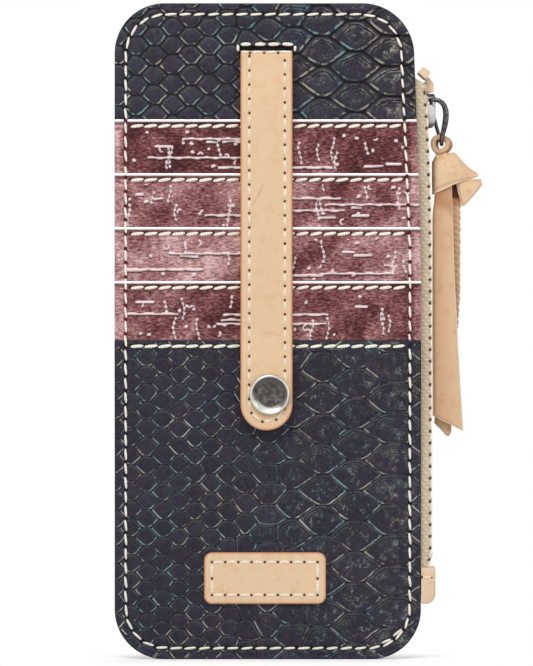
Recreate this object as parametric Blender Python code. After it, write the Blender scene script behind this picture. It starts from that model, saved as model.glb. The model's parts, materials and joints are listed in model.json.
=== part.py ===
"""Card organizer: an upright leather card case with four card pockets, a front pocket,
a snap strap, and a compartment that closes with a zip along the right edge.

Metres, +Z up, front towards -Y. The origin is on the bottom edge of the pocket backing,
midway across the case. Run with: blender --background --python part.py
"""

import math

import bmesh
import bpy
from mathutils import Matrix, Vector

# Case outline
BODY_WIDTH = 0.0950
BODY_HEIGHT = 0.2035
CORNER_RADIUS = 0.0155
TOP_NARROWING = 0.0026
NARROWING_DEPTH = 0.0755
ARC_STEPS = 7

# Sheet thicknesses and the gap between sheets that touch
LAYER_GAP = 0.0003
BACKING_THICKNESS = 0.0007
LINING_THICKNESS = 0.0003
PANEL_THICKNESS = 0.0010
SHEET_THICKNESS = 0.0005
LINING_INSET = 0.0020

# Card pockets
POCKET_COUNT = 4
POCKET_PITCH = 0.0167
POCKET_DEPTH = 0.0440
FRONT_POCKET_DROP = 0.1045
FRONT_POCKET_STEP = 0.0183
PANEL_TUCK = 0.0124
PANEL_BEND_RISE = 0.0186
ROLLED_EDGE = 0.00025
ROLLED_EDGE_HEIGHT = 0.0009

# Compartment and its zip
GUSSET_WIDTH = 0.0080
SEAM_ALLOWANCE = 0.0045
CROWN_RUN = 0.0530
CROWN_BOTTOM_RUN = 0.0255
CROWN_TOP_RUN = 0.0210
TAPE_THICKNESS = 0.0006
TAPE_WEB_THICKNESS = 0.0004
TAPE_TUCK = 0.0036
TAPE_LIP = 0.0036
TAPE_LIP_NARROWING = 0.0019
TAPE_TOP_DROP = 0.0220
TAPE_BOTTOM_Z = 0.0200
TAPE_TOP_SLOPE = 0.90
CHAIN_OUTSET = 0.0005
CHAIN_BOTTOM_RISE = 0.0165
TOOTH_PITCH = 0.0026
TOOTH_HEIGHT = 0.0010
TOOTH_THICKNESS = 0.0018
TOOTH_REACH = 0.0004
TOOTH_ROOT = 0.0017
BEAD_SIZE = 0.0007
BEAD_OFFSET = 0.00115
CHAIN_PART_WIDTH = 0.00135
STOP_HEIGHT = 0.0016

# Slider and its puller
SLIDER_DROP = 0.0057
SLIDER_LENGTH = 0.0113
SLIDER_SHOULDER = 0.0074
SLIDER_TAIL = 0.0054
SLIDER_PLATE = 0.0007
SLIDER_CLEARANCE = 0.00025
SLIDER_SIDE_CLEARANCE = 0.0003
SLIDER_SLIT = 0.0010
SLIDER_POST_WIDTH = 0.0012
SLIDER_POST_LENGTH = 0.0034
BRIDGE_WIDTH = 0.0016
BRIDGE_THICKNESS = 0.0006
BRIDGE_LENGTH = 0.0096
BRIDGE_FOOT = 0.0011
BRIDGE_TOP_DROP = 0.0002
RING_WIRE = 0.0012
RING_WIDTH = 0.0060
RING_CLEARANCE = 0.0003
RING_REACH = 0.0046
RING_DROP = 0.0132
RING_BAR_OUT = 0.0033

# Leather pull
LOOP_RADIUS = 0.0031
LOOP_HOLE_RADIUS = 0.0015
LOOP_WIDTH = 0.0040
KNOT_OVERLAP = 0.0006
KNOT_WIDTH = 0.0135
KNOT_HEIGHT = 0.0135
KNOT_DEPTH = 0.0062
THONG_THICKNESS = 0.0015
TAIL_WIDTH = 0.0090
FRONT_TAIL_LENGTH = 0.0868
REAR_TAIL_LENGTH = 0.0884
PULL_SIDE_GAP = 0.0009

# End tabs of the zip
TAB_THICKNESS = 0.0011
TAB_REACH = 0.0041
END_TAB_BOTTOM_Z = 0.0172
END_TAB_HEIGHT = 0.0112
END_TAB_CORNER = 0.0030
TOP_TAB_THICKNESS = 0.0020

# Strap with its snap
STRAP_WIDTH = 0.0161
STRAP_CENTRE_X = -0.0004
STRAP_SPLIT_DROP = 0.00045
STRAP_END_REACH = 0.0110
STRAP_FRONT_THICKNESS = 0.0012
STRAP_BACKING_THICKNESS = 0.0009
STRAP_PIVOT_OFFSET = 0.0002
SLIT_DROP = 0.0133
SLIT_HEIGHT = 0.0032
SLIT_CLEARANCE = 0.0003
STRAP_TAIL_LENGTH = 0.0086
STRAP_STEPS = 9
SNAP_OFFSET_X = 0.0010
SNAP_DROP = 0.0169
CAP_RADIUS = 0.00625
CAP_HEIGHT = 0.0011
CAP_RIM = 0.0005
SHANK_RADIUS = 0.0012
SHANK_CLEARANCE = 0.0003
SOCKET_RADIUS = 0.0049
SOCKET_HEIGHT = 0.0012
STUD_FLANGE_RADIUS = 0.0047
STUD_FLANGE_HEIGHT = 0.0005
STUD_RADIUS = 0.0020
STUD_HEIGHT = 0.0012
SNAP_CLEARANCE = 0.00035
ROUND_STEPS = 24

# Label patch
LABEL_WIDTH = 0.0378
LABEL_HEIGHT = 0.0160
LABEL_THICKNESS = 0.0013
LABEL_CORNER = 0.0025
LABEL_CENTRE_X = -0.00085
LABEL_CENTRE_Z = 0.0252

# Depths worked out from the layers
BACKING_FRONT_Y = -BACKING_THICKNESS / 2
BACKING_REAR_Y = BACKING_THICKNESS / 2
PANEL_REAR_Y = BACKING_FRONT_Y - LAYER_GAP
PANEL_FRONT_Y = PANEL_REAR_Y - PANEL_THICKNESS
FRONT_POCKET_TOP_Z = BODY_HEIGHT - FRONT_POCKET_DROP
NARROWING_START_Z = BODY_HEIGHT - NARROWING_DEPTH
SLIT_TOP_Z = BODY_HEIGHT - SLIT_DROP
STRAP_TAIL_TOP_Z = SLIT_TOP_Z + STRAP_TAIL_LENGTH
STRAP_SPLIT_Z = SLIT_TOP_Z - SLIT_HEIGHT - STRAP_SPLIT_DROP
SNAP_X = STRAP_CENTRE_X + SNAP_OFFSET_X
SNAP_Z = FRONT_POCKET_TOP_Z - SNAP_DROP
STRAP_BOTTOM_Z = SNAP_Z - STRAP_END_REACH
TAPE_TOP_Z = BODY_HEIGHT - TAPE_TOP_DROP
SLIDER_TOP_Z = TAPE_TOP_Z - SLIDER_DROP
CHAIN_BOTTOM_Z = TAPE_BOTTOM_Z + CHAIN_BOTTOM_RISE
CHAIN_X = BODY_WIDTH / 2 + CHAIN_OUTSET
SHEET_LEAN = (SHEET_THICKNESS + LAYER_GAP) / POCKET_PITCH
LAST_POCKET_TOP_Z = FRONT_POCKET_TOP_Z + FRONT_POCKET_STEP
FIRST_POCKET_TOP_Z = LAST_POCKET_TOP_Z + (POCKET_COUNT - 1) * POCKET_PITCH
TAPE_FRONT_Y = BACKING_REAR_Y - TAPE_THICKNESS
CHAIN_Y = BACKING_REAR_Y + GUSSET_WIDTH / 2
BACK_TAPE_Y = BACKING_REAR_Y + GUSSET_WIDTH
BACK_REST_Y = BACKING_REAR_Y + 2 * LINING_THICKNESS + 3 * LAYER_GAP
BACK_FULL_Y = BACK_TAPE_Y + TAPE_THICKNESS + LAYER_GAP
CROWN_HEIGHT = BACK_FULL_Y - BACK_REST_Y
HALF_WIDTH = BODY_WIDTH / 2
TAPE_INNER_X = HALF_WIDTH - TAPE_TUCK
LIP_X = HALF_WIDTH + TAPE_LIP
STRAP_THICKNESS = STRAP_FRONT_THICKNESS + LAYER_GAP + STRAP_BACKING_THICKNESS
STRAP_REST_Y = PANEL_FRONT_Y - LAYER_GAP
STRAP_PIVOT_Y = STRAP_REST_Y - STRAP_THICKNESS - STRAP_PIVOT_OFFSET
SLIDER_BOTTOM_Z = SLIDER_TOP_Z - SLIDER_LENGTH
SLIDER_HALF_THICKNESS = TOOTH_THICKNESS / 2 + SLIDER_CLEARANCE + SLIDER_PLATE
BRIDGE_GAP = RING_WIRE + 2 * RING_CLEARANCE
RING_PIVOT_X = CHAIN_X + SLIDER_HALF_THICKNESS + RING_CLEARANCE + RING_WIRE / 2
RING_PIVOT_Z = SLIDER_TOP_Z - BRIDGE_TOP_DROP - BRIDGE_FOOT - RING_CLEARANCE - RING_WIRE / 2
PULL_PIVOT_X = RING_PIVOT_X + RING_BAR_OUT
PULL_PIVOT_Z = RING_PIVOT_Z - RING_DROP
CHAIN_TOP_Z = SLIDER_TOP_Z + 0.5 * TOOTH_PITCH

COLLECTION_NAME = "card_organizer"
CUTTER_COLLECTION_NAME = "card_organizer_cutters"


def clear_scene():
    for obj in list(bpy.data.objects):
        bpy.data.objects.remove(obj, do_unlink=True)


def linear(channel):
    if channel <= 0.04045:
        return channel / 12.92
    return ((channel + 0.055) / 1.055) ** 2.4


def material(name, colour, roughness, metallic=0.0):
    """A Principled material whose colour is an sRGB hex value."""
    made = bpy.data.materials.new(name)
    made.use_nodes = True
    shader = made.node_tree.nodes["Principled BSDF"]
    red, green, blue = (linear((colour >> shift & 255) / 255) for shift in (16, 8, 0))
    shader.inputs["Base Color"].default_value = (red, green, blue, 1.0)
    shader.inputs["Roughness"].default_value = roughness
    shader.inputs["Metallic"].default_value = metallic
    made.diffuse_color = (red, green, blue, 1.0)
    return made


def place(name, mesh, made_of=None, cutter=False):
    """An object for a mesh whose points are already where the piece is."""
    obj = bpy.data.objects.new(name, mesh)
    bpy.data.collections[CUTTER_COLLECTION_NAME if cutter else COLLECTION_NAME].objects.link(obj)
    if cutter:
        obj.hide_render = True
        obj.display_type = "WIRE"
    if made_of:
        mesh.materials.append(made_of)
    return obj


def finish_mesh(name, bm):
    bmesh.ops.recalc_face_normals(bm, faces=bm.faces)
    mesh = bpy.data.meshes.new(name)
    bm.to_mesh(mesh)
    bm.free()
    return mesh


def set_origin(obj, point):
    """Moves an object's origin to a joint's axis and leaves its shape where it was."""
    obj.data.transform(Matrix.Translation(-Vector(point)))
    obj.location = point


def smooth_shade(obj, angle=0.6):
    obj.data.shade_smooth()
    obj.data.set_sharp_from_angle(angle=angle)


def ease(value):
    """Runs smoothly from 0 to 1 as the value does, and holds outside that."""
    t = min(max(value, 0.0), 1.0)
    return t * t * (3 - 2 * t)


def rounded_outline(corners, radii, steps=ARC_STEPS):
    """The points of a polygon whose corners are arcs, one radius for each corner."""
    points = []
    count = len(corners)
    for index, radius in enumerate(radii):
        corner = Vector(corners[index])
        if radius <= 0:
            points.append(corner)
            continue
        to_last = (Vector(corners[index - 1]) - corner).normalized()
        to_next = (Vector(corners[(index + 1) % count]) - corner).normalized()
        half = to_last.angle(to_next) / 2
        centre = corner + (to_last + to_next).normalized() * radius / math.sin(half)
        start = corner + to_last * radius / math.tan(half) - centre
        end = corner + to_next * radius / math.tan(half) - centre
        sweep = start.angle_signed(end)
        for step in range(steps + 1):
            turned = start.copy()
            turned.rotate(Matrix.Rotation(-sweep * step / steps, 2))
            points.append(centre + turned)
    return points


def prism(name, outline, along, low, high):
    """A flat outline drawn out along X, Y or Z. The outline holds the other two axes in order."""
    bm = bmesh.new()
    put = {
        "X": lambda u, v: (low, u, v),
        "Y": lambda u, v: (u, low, v),
        "Z": lambda u, v: (u, v, low),
    }[along]
    face = bm.faces.new([bm.verts.new(put(u, v)) for u, v in outline])
    drawn = bmesh.ops.extrude_face_region(bm, geom=[face])
    moved = [item for item in drawn["geom"] if isinstance(item, bmesh.types.BMVert)]
    step = Vector([high - low if axis == along else 0.0 for axis in "XYZ"])
    bmesh.ops.translate(bm, verts=moved, vec=step)
    return finish_mesh(name, bm)


def box(name, low, high):
    """A box between two opposite corners."""
    bm = bmesh.new()
    bmesh.ops.create_cube(bm, size=1.0)
    low, high = Vector(low), Vector(high)
    bmesh.ops.scale(bm, verts=bm.verts, vec=high - low)
    bmesh.ops.translate(bm, verts=bm.verts, vec=(low + high) / 2)
    return finish_mesh(name, bm)


def lofted(name, sections):
    """A closed mesh through outlines of the same number of points, in order."""
    bm = bmesh.new()
    rings = [[bm.verts.new(point) for point in section] for section in sections]
    count = len(rings[0])
    for ring, following in zip(rings, rings[1:]):
        for index in range(count):
            after = (index + 1) % count
            bm.faces.new((ring[index], ring[after], following[after], following[index]))
    bm.faces.new(rings[0])
    bm.faces.new(rings[-1])
    return finish_mesh(name, bm)


def cut(obj, cutter, operation="DIFFERENCE"):
    modifier = obj.modifiers.new(cutter.name, "BOOLEAN")
    modifier.operation = operation
    modifier.solver = "EXACT"
    modifier.object = cutter


def cutter_box(name, low, high):
    return place(name, box(name, low, high), cutter=True)


def turned(name, profile, made_of, y, x=SNAP_X, z=SNAP_Z, steps=ROUND_STEPS):
    """A piece turned about the snap's axis. The profile holds (radius, depth towards -Y)."""
    bm = bmesh.new()
    verts = [bm.verts.new((radius, 0.0, depth)) for radius, depth in profile]
    for first, second in zip(verts, verts[1:]):
        bm.edges.new((first, second))
    if profile[0] != profile[-1] and profile[-1][0] > 0:
        bm.edges.new((verts[-1], verts[0]))
    bmesh.ops.spin(
        bm,
        geom=bm.verts[:] + bm.edges[:],
        cent=(0, 0, 0),
        axis=(0, 0, 1),
        angle=2 * math.pi,
        steps=steps,
        use_merge=True,
    )
    bmesh.ops.remove_doubles(bm, verts=bm.verts, dist=1e-6)
    bmesh.ops.rotate(bm, verts=bm.verts, cent=(0, 0, 0), matrix=Matrix.Rotation(math.pi / 2, 3, "X"))
    bmesh.ops.translate(bm, verts=bm.verts, vec=(x, y, z))
    obj = place(name, finish_mesh(name, bm), made_of)
    smooth_shade(obj)
    return obj


def body_outline(inset=0.0):
    """The case seen from the front, in X and Z, drawn in by an inset."""
    left = -HALF_WIDTH + inset
    right = HALF_WIDTH - inset
    top = BODY_HEIGHT - inset
    radius = CORNER_RADIUS - inset
    return rounded_outline(
        [
            (left, inset),
            (right, inset),
            (right, NARROWING_START_Z),
            (right - TOP_NARROWING, top),
            (left, top),
        ],
        [radius, radius, 0, radius, radius],
    )


def body_cutter(name, inset=0.0):
    mesh = prism(name, body_outline(inset), "Y", -BODY_WIDTH, BODY_WIDTH)
    return place(name, mesh, cutter=True)


def drawn_sheet(name, rear_line, thickness, made_of, left=-BODY_WIDTH, right=BODY_WIDTH):
    """A sheet from its rear line in (Z, Y), drawn along X, with its thickness towards -Y."""
    front = [(y - thickness, z) for z, y in reversed(rear_line)]
    outline = [(y, z) for z, y in rear_line] + front
    return place(name, prism(name, outline, "X", left, right), made_of)


def sheet_rear_y(z, top_z):
    """The rear face of a card pocket sheet, which leans forward from its sewn bottom edge."""
    return PANEL_REAR_Y - (z - top_z + POCKET_DEPTH) * SHEET_LEAN


def crown(x, z):
    """How far the back of the compartment stands out, from 0 at its seams to 1 beside the zip."""
    across = ease((x + HALF_WIDTH - SEAM_ALLOWANCE) / CROWN_RUN)
    up = ease((z - SEAM_ALLOWANCE) / CROWN_BOTTOM_RUN)
    down = ease((BODY_HEIGHT - SEAM_ALLOWANCE - z) / CROWN_TOP_RUN)
    return across * min(up, down)


def crown_levels():
    """Heights at which the crowned back and the zip tapes both have an edge."""
    bottom_end = SEAM_ALLOWANCE + CROWN_BOTTOM_RUN
    top_start = BODY_HEIGHT - SEAM_ALLOWANCE - CROWN_TOP_RUN
    rising = [SEAM_ALLOWANCE + CROWN_BOTTOM_RUN * step / 6 for step in range(7)]
    falling = [top_start + CROWN_TOP_RUN * step / 6 for step in range(7)]
    middle = [bottom_end + (top_start - bottom_end) * step / 4 for step in range(1, 4)]
    return [0.0] + rising + middle + falling + [BODY_HEIGHT]


def crown_columns():
    run_end = -HALF_WIDTH + SEAM_ALLOWANCE + CROWN_RUN
    rising = [-HALF_WIDTH + SEAM_ALLOWANCE + CROWN_RUN * step / 7 for step in range(8)]
    return [-HALF_WIDTH - LAYER_GAP] + rising + [(run_end + HALF_WIDTH) / 2, HALF_WIDTH + LAYER_GAP]


def crowned_sheet(name, rest_y, thickness, made_of):
    """A closed sheet over the case, whose front face follows the crown of the compartment."""
    columns = crown_columns()
    levels = crown_levels()
    bm = bmesh.new()
    bmesh.ops.create_grid(bm, x_segments=len(columns) - 1, y_segments=len(levels) - 1, size=0.5)
    for vert in bm.verts:
        column = round((vert.co.x + 0.5) * (len(columns) - 1))
        level = round((vert.co.y + 0.5) * (len(levels) - 1))
        x, z = columns[column], levels[level]
        if level in (0, len(levels) - 1):
            z += -LAYER_GAP if level == 0 else LAYER_GAP
        vert.co = (x, rest_y + CROWN_HEIGHT * crown(x, z), z)
    drawn = bmesh.ops.extrude_face_region(bm, geom=bm.faces[:])
    moved = [item for item in drawn["geom"] if isinstance(item, bmesh.types.BMVert)]
    bmesh.ops.translate(bm, verts=moved, vec=(0, thickness, 0))
    return place(name, finish_mesh(name, bm), made_of)


def make_front(leather, metallic_pink, board, lining):
    """The sheets in front of the compartment, from the backing out to the front pocket."""
    outline = body_cutter("outline_cutter")
    inner = body_cutter("lining_cutter", LINING_INSET)

    backing = place(
        "pocket_backing",
        prism("pocket_backing", body_outline(), "Y", BACKING_FRONT_Y, BACKING_REAR_Y),
        board,
    )
    reach = STRAP_WIDTH / 2 + SLIT_CLEARANCE
    window = cutter_box(
        "strap_tail_window",
        (STRAP_CENTRE_X - reach, -BODY_WIDTH, SLIT_TOP_Z - SLIT_HEIGHT),
        (STRAP_CENTRE_X + reach, BODY_WIDTH, STRAP_TAIL_TOP_Z + SLIT_CLEARANCE),
    )
    zip_side = cutter_box(
        "zip_side_cutter",
        (TAPE_INNER_X - LAYER_GAP, -BODY_WIDTH, TAPE_BOTTOM_Z - LAYER_GAP),
        (BODY_WIDTH, BODY_WIDTH, TAPE_TOP_Z + TAPE_TUCK),
    )
    cut(backing, window)
    cut(backing, zip_side)

    lining_y = BACKING_REAR_Y + LAYER_GAP
    front_lining = place(
        "lining_front",
        prism("lining_front", body_outline(LINING_INSET), "Y", lining_y, lining_y + LINING_THICKNESS),
        lining,
    )
    cut(front_lining, zip_side)

    panel_bottom = FIRST_POCKET_TOP_Z - PANEL_TUCK
    behind = LAYER_GAP + PANEL_THICKNESS
    panel_line = [
        (BODY_HEIGHT + LAYER_GAP, PANEL_REAR_Y),
        (FIRST_POCKET_TOP_Z + PANEL_BEND_RISE, PANEL_REAR_Y),
        (FIRST_POCKET_TOP_Z, sheet_rear_y(FIRST_POCKET_TOP_Z, FIRST_POCKET_TOP_Z) + behind),
        (panel_bottom, sheet_rear_y(panel_bottom, FIRST_POCKET_TOP_Z) + behind),
    ]
    panel = drawn_sheet("upper_front_panel", panel_line, PANEL_THICKNESS, leather)
    cut(panel, outline, "INTERSECT")
    slit = cutter_box(
        "strap_slit",
        (STRAP_CENTRE_X - reach, -BODY_WIDTH, SLIT_TOP_Z - SLIT_HEIGHT),
        (STRAP_CENTRE_X + reach, BODY_WIDTH, SLIT_TOP_Z),
    )
    cut(panel, slit)

    for number in range(POCKET_COUNT):
        top = FIRST_POCKET_TOP_Z - number * POCKET_PITCH
        make_pocket_sheet(f"card_pocket_{number + 1}", top, metallic_pink, outline)

    top = FRONT_POCKET_TOP_Z
    last = LAST_POCKET_TOP_Z
    ahead = SHEET_THICKNESS + LAYER_GAP
    flat_z = last - POCKET_DEPTH - ahead / SHEET_LEAN
    pocket_line = [
        (top, sheet_rear_y(top, last) - ahead),
        (flat_z, PANEL_REAR_Y),
        (-LAYER_GAP, PANEL_REAR_Y),
    ]
    pocket = drawn_sheet("front_pocket", pocket_line, PANEL_THICKNESS, leather)
    cut(pocket, outline, "INTERSECT")
    hole = prism(
        "stud_hole",
        circle(SNAP_X, SNAP_Z, SHANK_RADIUS + SHANK_CLEARANCE),
        "Y",
        -BODY_WIDTH,
        BODY_WIDTH,
    )
    cut(pocket, place("stud_hole", hole, cutter=True))
    return outline, inner


def circle(u, v, radius, steps=ROUND_STEPS):
    turn = 2 * math.pi / steps
    return [(u + radius * math.cos(turn * n), v + radius * math.sin(turn * n)) for n in range(steps)]


def make_pocket_sheet(name, top, made_of, outline):
    """One card pocket: a leaning sheet with a rolled bead along its top edge."""
    bottom = top - POCKET_DEPTH
    rear_top = sheet_rear_y(top, top)
    front_top = rear_top - SHEET_THICKNESS
    bead = ROLLED_EDGE_HEIGHT
    profile = [
        (PANEL_REAR_Y, bottom),
        (rear_top, top),
        (front_top, top),
        (front_top - ROLLED_EDGE, top - bead / 3),
        (front_top - ROLLED_EDGE + bead * SHEET_LEAN, top - bead),
        (front_top + 1.5 * bead * SHEET_LEAN, top - 1.5 * bead),
        (PANEL_REAR_Y - SHEET_THICKNESS, bottom),
    ]
    sheet = place(name, prism(name, profile, "X", -BODY_WIDTH, BODY_WIDTH), made_of)
    cut(sheet, outline, "INTERSECT")


def make_back(leather, lining, outline, inner):
    """The crowned back of the compartment and the lining inside it."""
    panel = crowned_sheet("back_panel", BACK_REST_Y, PANEL_THICKNESS, leather)
    cut(panel, outline, "INTERSECT")
    back_lining = crowned_sheet(
        "lining_back", BACK_REST_Y - LAYER_GAP - LINING_THICKNESS, LINING_THICKNESS, lining
    )
    cut(back_lining, inner, "INTERSECT")
    zip_side = cutter_box(
        "back_zip_side_cutter",
        (TAPE_INNER_X - LAYER_GAP, -BODY_WIDTH, -BODY_WIDTH),
        (BODY_WIDTH, BODY_WIDTH, 2 * BODY_HEIGHT),
    )
    cut(back_lining, zip_side)


def pinch(y, z):
    """Draws the gusset's depth in towards the front where the crown falls to the seams."""
    fall = CROWN_HEIGHT * (1 - crown(HALF_WIDTH, z))
    share = min(max((y - BACKING_REAR_Y) / GUSSET_WIDTH, 0.0), 1.0)
    return y - fall * share


def lip_x(z):
    """The outer edge of the folded tape, which draws in towards the top and in its bottom tab."""
    tab_top = END_TAB_BOTTOM_Z + END_TAB_HEIGHT
    upper = TAPE_LIP_NARROWING * ease((z - NARROWING_START_Z + POCKET_PITCH) / (4 * POCKET_PITCH))
    lower = (TAPE_THICKNESS + LAYER_GAP) * (1 - ease((z - tab_top) / TAB_REACH))
    return LIP_X - upper - lower


def part_width(z):
    """How far each half of the chain stands back from its closed line, above and in the slider."""
    start = SLIDER_TOP_Z - 0.7 * SLIDER_LENGTH
    return CHAIN_PART_WIDTH * ease((z - start) / (0.5 * SLIDER_LENGTH))


def make_tape(name, side, made_of):
    """A zip tape folded to an L: a tuck and lip along the case, and a web that carries the teeth.

    side is -1 for the front tape and 1 for the back one.
    """
    face_y = CHAIN_Y + side * GUSSET_WIDTH / 2
    outer_y = face_y + side * TAPE_THICKNESS
    half_web = TAPE_WEB_THICKNESS / 2
    web_end = TOOTH_ROOT + LAYER_GAP
    levels = [z for z in crown_levels() if TAPE_BOTTOM_Z + LAYER_GAP < z < TAPE_TOP_Z - 2 * TAPE_LIP]
    part_start = SLIDER_TOP_Z - 0.7 * SLIDER_LENGTH
    levels += [part_start + 0.5 * SLIDER_LENGTH * step / 4 for step in range(5)]
    levels += [NARROWING_START_Z - POCKET_PITCH + POCKET_PITCH * step for step in range(4)]
    levels = [TAPE_BOTTOM_Z] + sorted(levels) + [TAPE_TOP_Z - TAPE_LIP]
    lip_top = lip_x(TAPE_TOP_Z)

    def section(z):
        end_y = CHAIN_Y + side * (web_end + part_width(z))
        slope = TAPE_TOP_SLOPE / 2 if z == levels[-1] else 0.0
        lip = lip_x(z)
        flat = [
            (TAPE_INNER_X, outer_y),
            (lip, outer_y),
            (lip, face_y),
            (CHAIN_X + half_web, face_y),
            (CHAIN_X + half_web, end_y),
            (CHAIN_X - half_web, end_y),
            (CHAIN_X - half_web, face_y),
            (TAPE_INNER_X, face_y),
        ]
        return [(x, pinch(y, z), z + slope * (lip_top - x)) for x, y in flat]

    return place(name, lofted(name, [section(z) for z in levels]), made_of)


def make_chain(name, side, made_of):
    """Half of the chain: a corded bead with its row of teeth, set half a pitch from the other half."""
    half_bead = BEAD_SIZE / 2
    bottom = CHAIN_BOTTOM_Z
    shift = 0.0 if side < 0 else TOOTH_PITCH / 2
    count = int((CHAIN_TOP_Z - bottom - shift - TOOTH_HEIGHT) / TOOTH_PITCH) + 1
    first = bottom + shift + TOOTH_HEIGHT / 2
    part_start = SLIDER_TOP_Z - 0.7 * SLIDER_LENGTH
    levels = [bottom, part_start]
    levels += [part_start + 0.5 * SLIDER_LENGTH * step / 4 for step in range(1, 5)] + [CHAIN_TOP_Z]

    def section(z):
        y = CHAIN_Y + side * (BEAD_OFFSET + part_width(z))
        return [
            (CHAIN_X - half_bead, y, z),
            (CHAIN_X, y - half_bead, z),
            (CHAIN_X + half_bead, y, z),
            (CHAIN_X, y + half_bead, z),
        ]

    chain = place(name, lofted(name, [section(z) for z in levels]), made_of)

    teeth = bmesh.new()
    for number in range(count):
        z = first + number * TOOTH_PITCH
        back = part_width(z)
        made = bmesh.ops.create_cube(teeth, size=1.0)["verts"]
        for vert in made:
            outward = vert.co.y < 0
            reach = TOOTH_ROOT + back if outward else back - TOOTH_REACH
            taper = 1.0 if outward else 0.8
            vert.co = (
                CHAIN_X + vert.co.x * TOOTH_THICKNESS * taper,
                CHAIN_Y + side * reach,
                z + vert.co.z * TOOTH_HEIGHT * taper,
            )
    cut(chain, place(name + "_teeth", finish_mesh(name + "_teeth", teeth), cutter=True), "UNION")
    return chain


def make_stops(metal):
    """The metal stops that end the slider's travel."""
    half = TOOTH_THICKNESS / 2
    place(
        "zip_bottom_stop",
        box(
            "zip_bottom_stop",
            (CHAIN_X - half, CHAIN_Y - TOOTH_ROOT, CHAIN_BOTTOM_Z - LAYER_GAP - STOP_HEIGHT),
            (CHAIN_X + half, CHAIN_Y + TOOTH_ROOT, CHAIN_BOTTOM_Z - LAYER_GAP),
        ),
        metal,
    )
    low = CHAIN_TOP_Z + LAYER_GAP
    for name, side in (("zip_top_stop_front", -1), ("zip_top_stop_back", 1)):
        near = CHAIN_Y + side * (CHAIN_PART_WIDTH + TOOTH_ROOT / 3)
        far = CHAIN_Y + side * (CHAIN_PART_WIDTH + TOOTH_ROOT)
        corners = sorted((near, far))
        mesh = box(name, (CHAIN_X - half, corners[0], low), (CHAIN_X + half, corners[1], low + STOP_HEIGHT))
        place(name, mesh, metal)


def make_end_tabs(natural):
    """The leather tabs that wrap the ends of the zip, front to back round its outer side."""
    low = END_TAB_BOTTOM_Z
    high = low + END_TAB_HEIGHT
    inner_x = HALF_WIDTH + LAYER_GAP
    outer_x = HALF_WIDTH + TAB_REACH
    wall_x = outer_x - TAB_THICKNESS
    front = TAPE_FRONT_Y - LAYER_GAP
    rear = BACK_TAPE_Y + TAPE_THICKNESS + LAYER_GAP
    section = [
        (inner_x, front - TAB_THICKNESS),
        (outer_x - TAB_THICKNESS / 2, front - TAB_THICKNESS),
        (outer_x, front - TAB_THICKNESS / 2),
        (outer_x, rear + TAB_THICKNESS / 2),
        (outer_x - TAB_THICKNESS / 2, rear + TAB_THICKNESS),
        (inner_x, rear + TAB_THICKNESS),
        (inner_x, rear),
        (wall_x, rear),
        (wall_x, front),
        (inner_x, front),
    ]
    levels = [low] + [z for z in crown_levels() if low < z < high] + [high]
    sections = [[(x, pinch(y, z), z) for x, y in section] for z in levels]
    tab = place("zip_tab_bottom", lofted("zip_tab_bottom", sections), natural)
    corner = rounded_outline(
        [(inner_x - TAB_REACH, low), (outer_x, low), (outer_x, 2 * high), (inner_x - TAB_REACH, 2 * high)],
        [0, END_TAB_CORNER, 0, 0],
    )
    rounding = prism("zip_tab_corner", corner, "Y", -BODY_WIDTH, BODY_WIDTH)
    rounding = place("zip_tab_corner", rounding, cutter=True)
    cut(tab, rounding, "INTERSECT")

    edge = lip_x(TAPE_TOP_Z) + LAYER_GAP
    top = TAPE_TOP_Z
    outer = edge + TOP_TAB_THICKNESS
    fold = [
        (edge - 0.0022, top + 0.0016),
        (edge - 0.0009, top + 0.0028),
        (edge + 0.0014, top + 0.0010),
        (outer, top - 0.0009),
        (outer, top - 0.0026),
        (edge + 0.0006, top - 0.0026),
    ]
    front_y = TAPE_FRONT_Y - TAB_THICKNESS / 2
    rear_y = pinch(BACK_TAPE_Y, top) + TAPE_THICKNESS
    tab = place("zip_tab_top", prism("zip_tab_top", fold, "Y", front_y, rear_y), natural)
    tongue_low = SLIDER_TOP_Z - BRIDGE_TOP_DROP + LAYER_GAP
    tongue = [
        (edge + 0.0007, top - 0.0020),
        (outer, top - 0.0020),
        (outer + 0.0001, tongue_low + 0.0005),
        (outer - 0.0003, tongue_low),
        (edge + 0.0011, tongue_low),
    ]
    half = RING_WIDTH / 2 - RING_WIRE / 2 - RING_CLEARANCE
    mesh = prism("tab_tongue", tongue, "Y", CHAIN_Y - half, CHAIN_Y + half)
    cut(tab, place("tab_tongue", mesh, cutter=True), "UNION")


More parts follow.
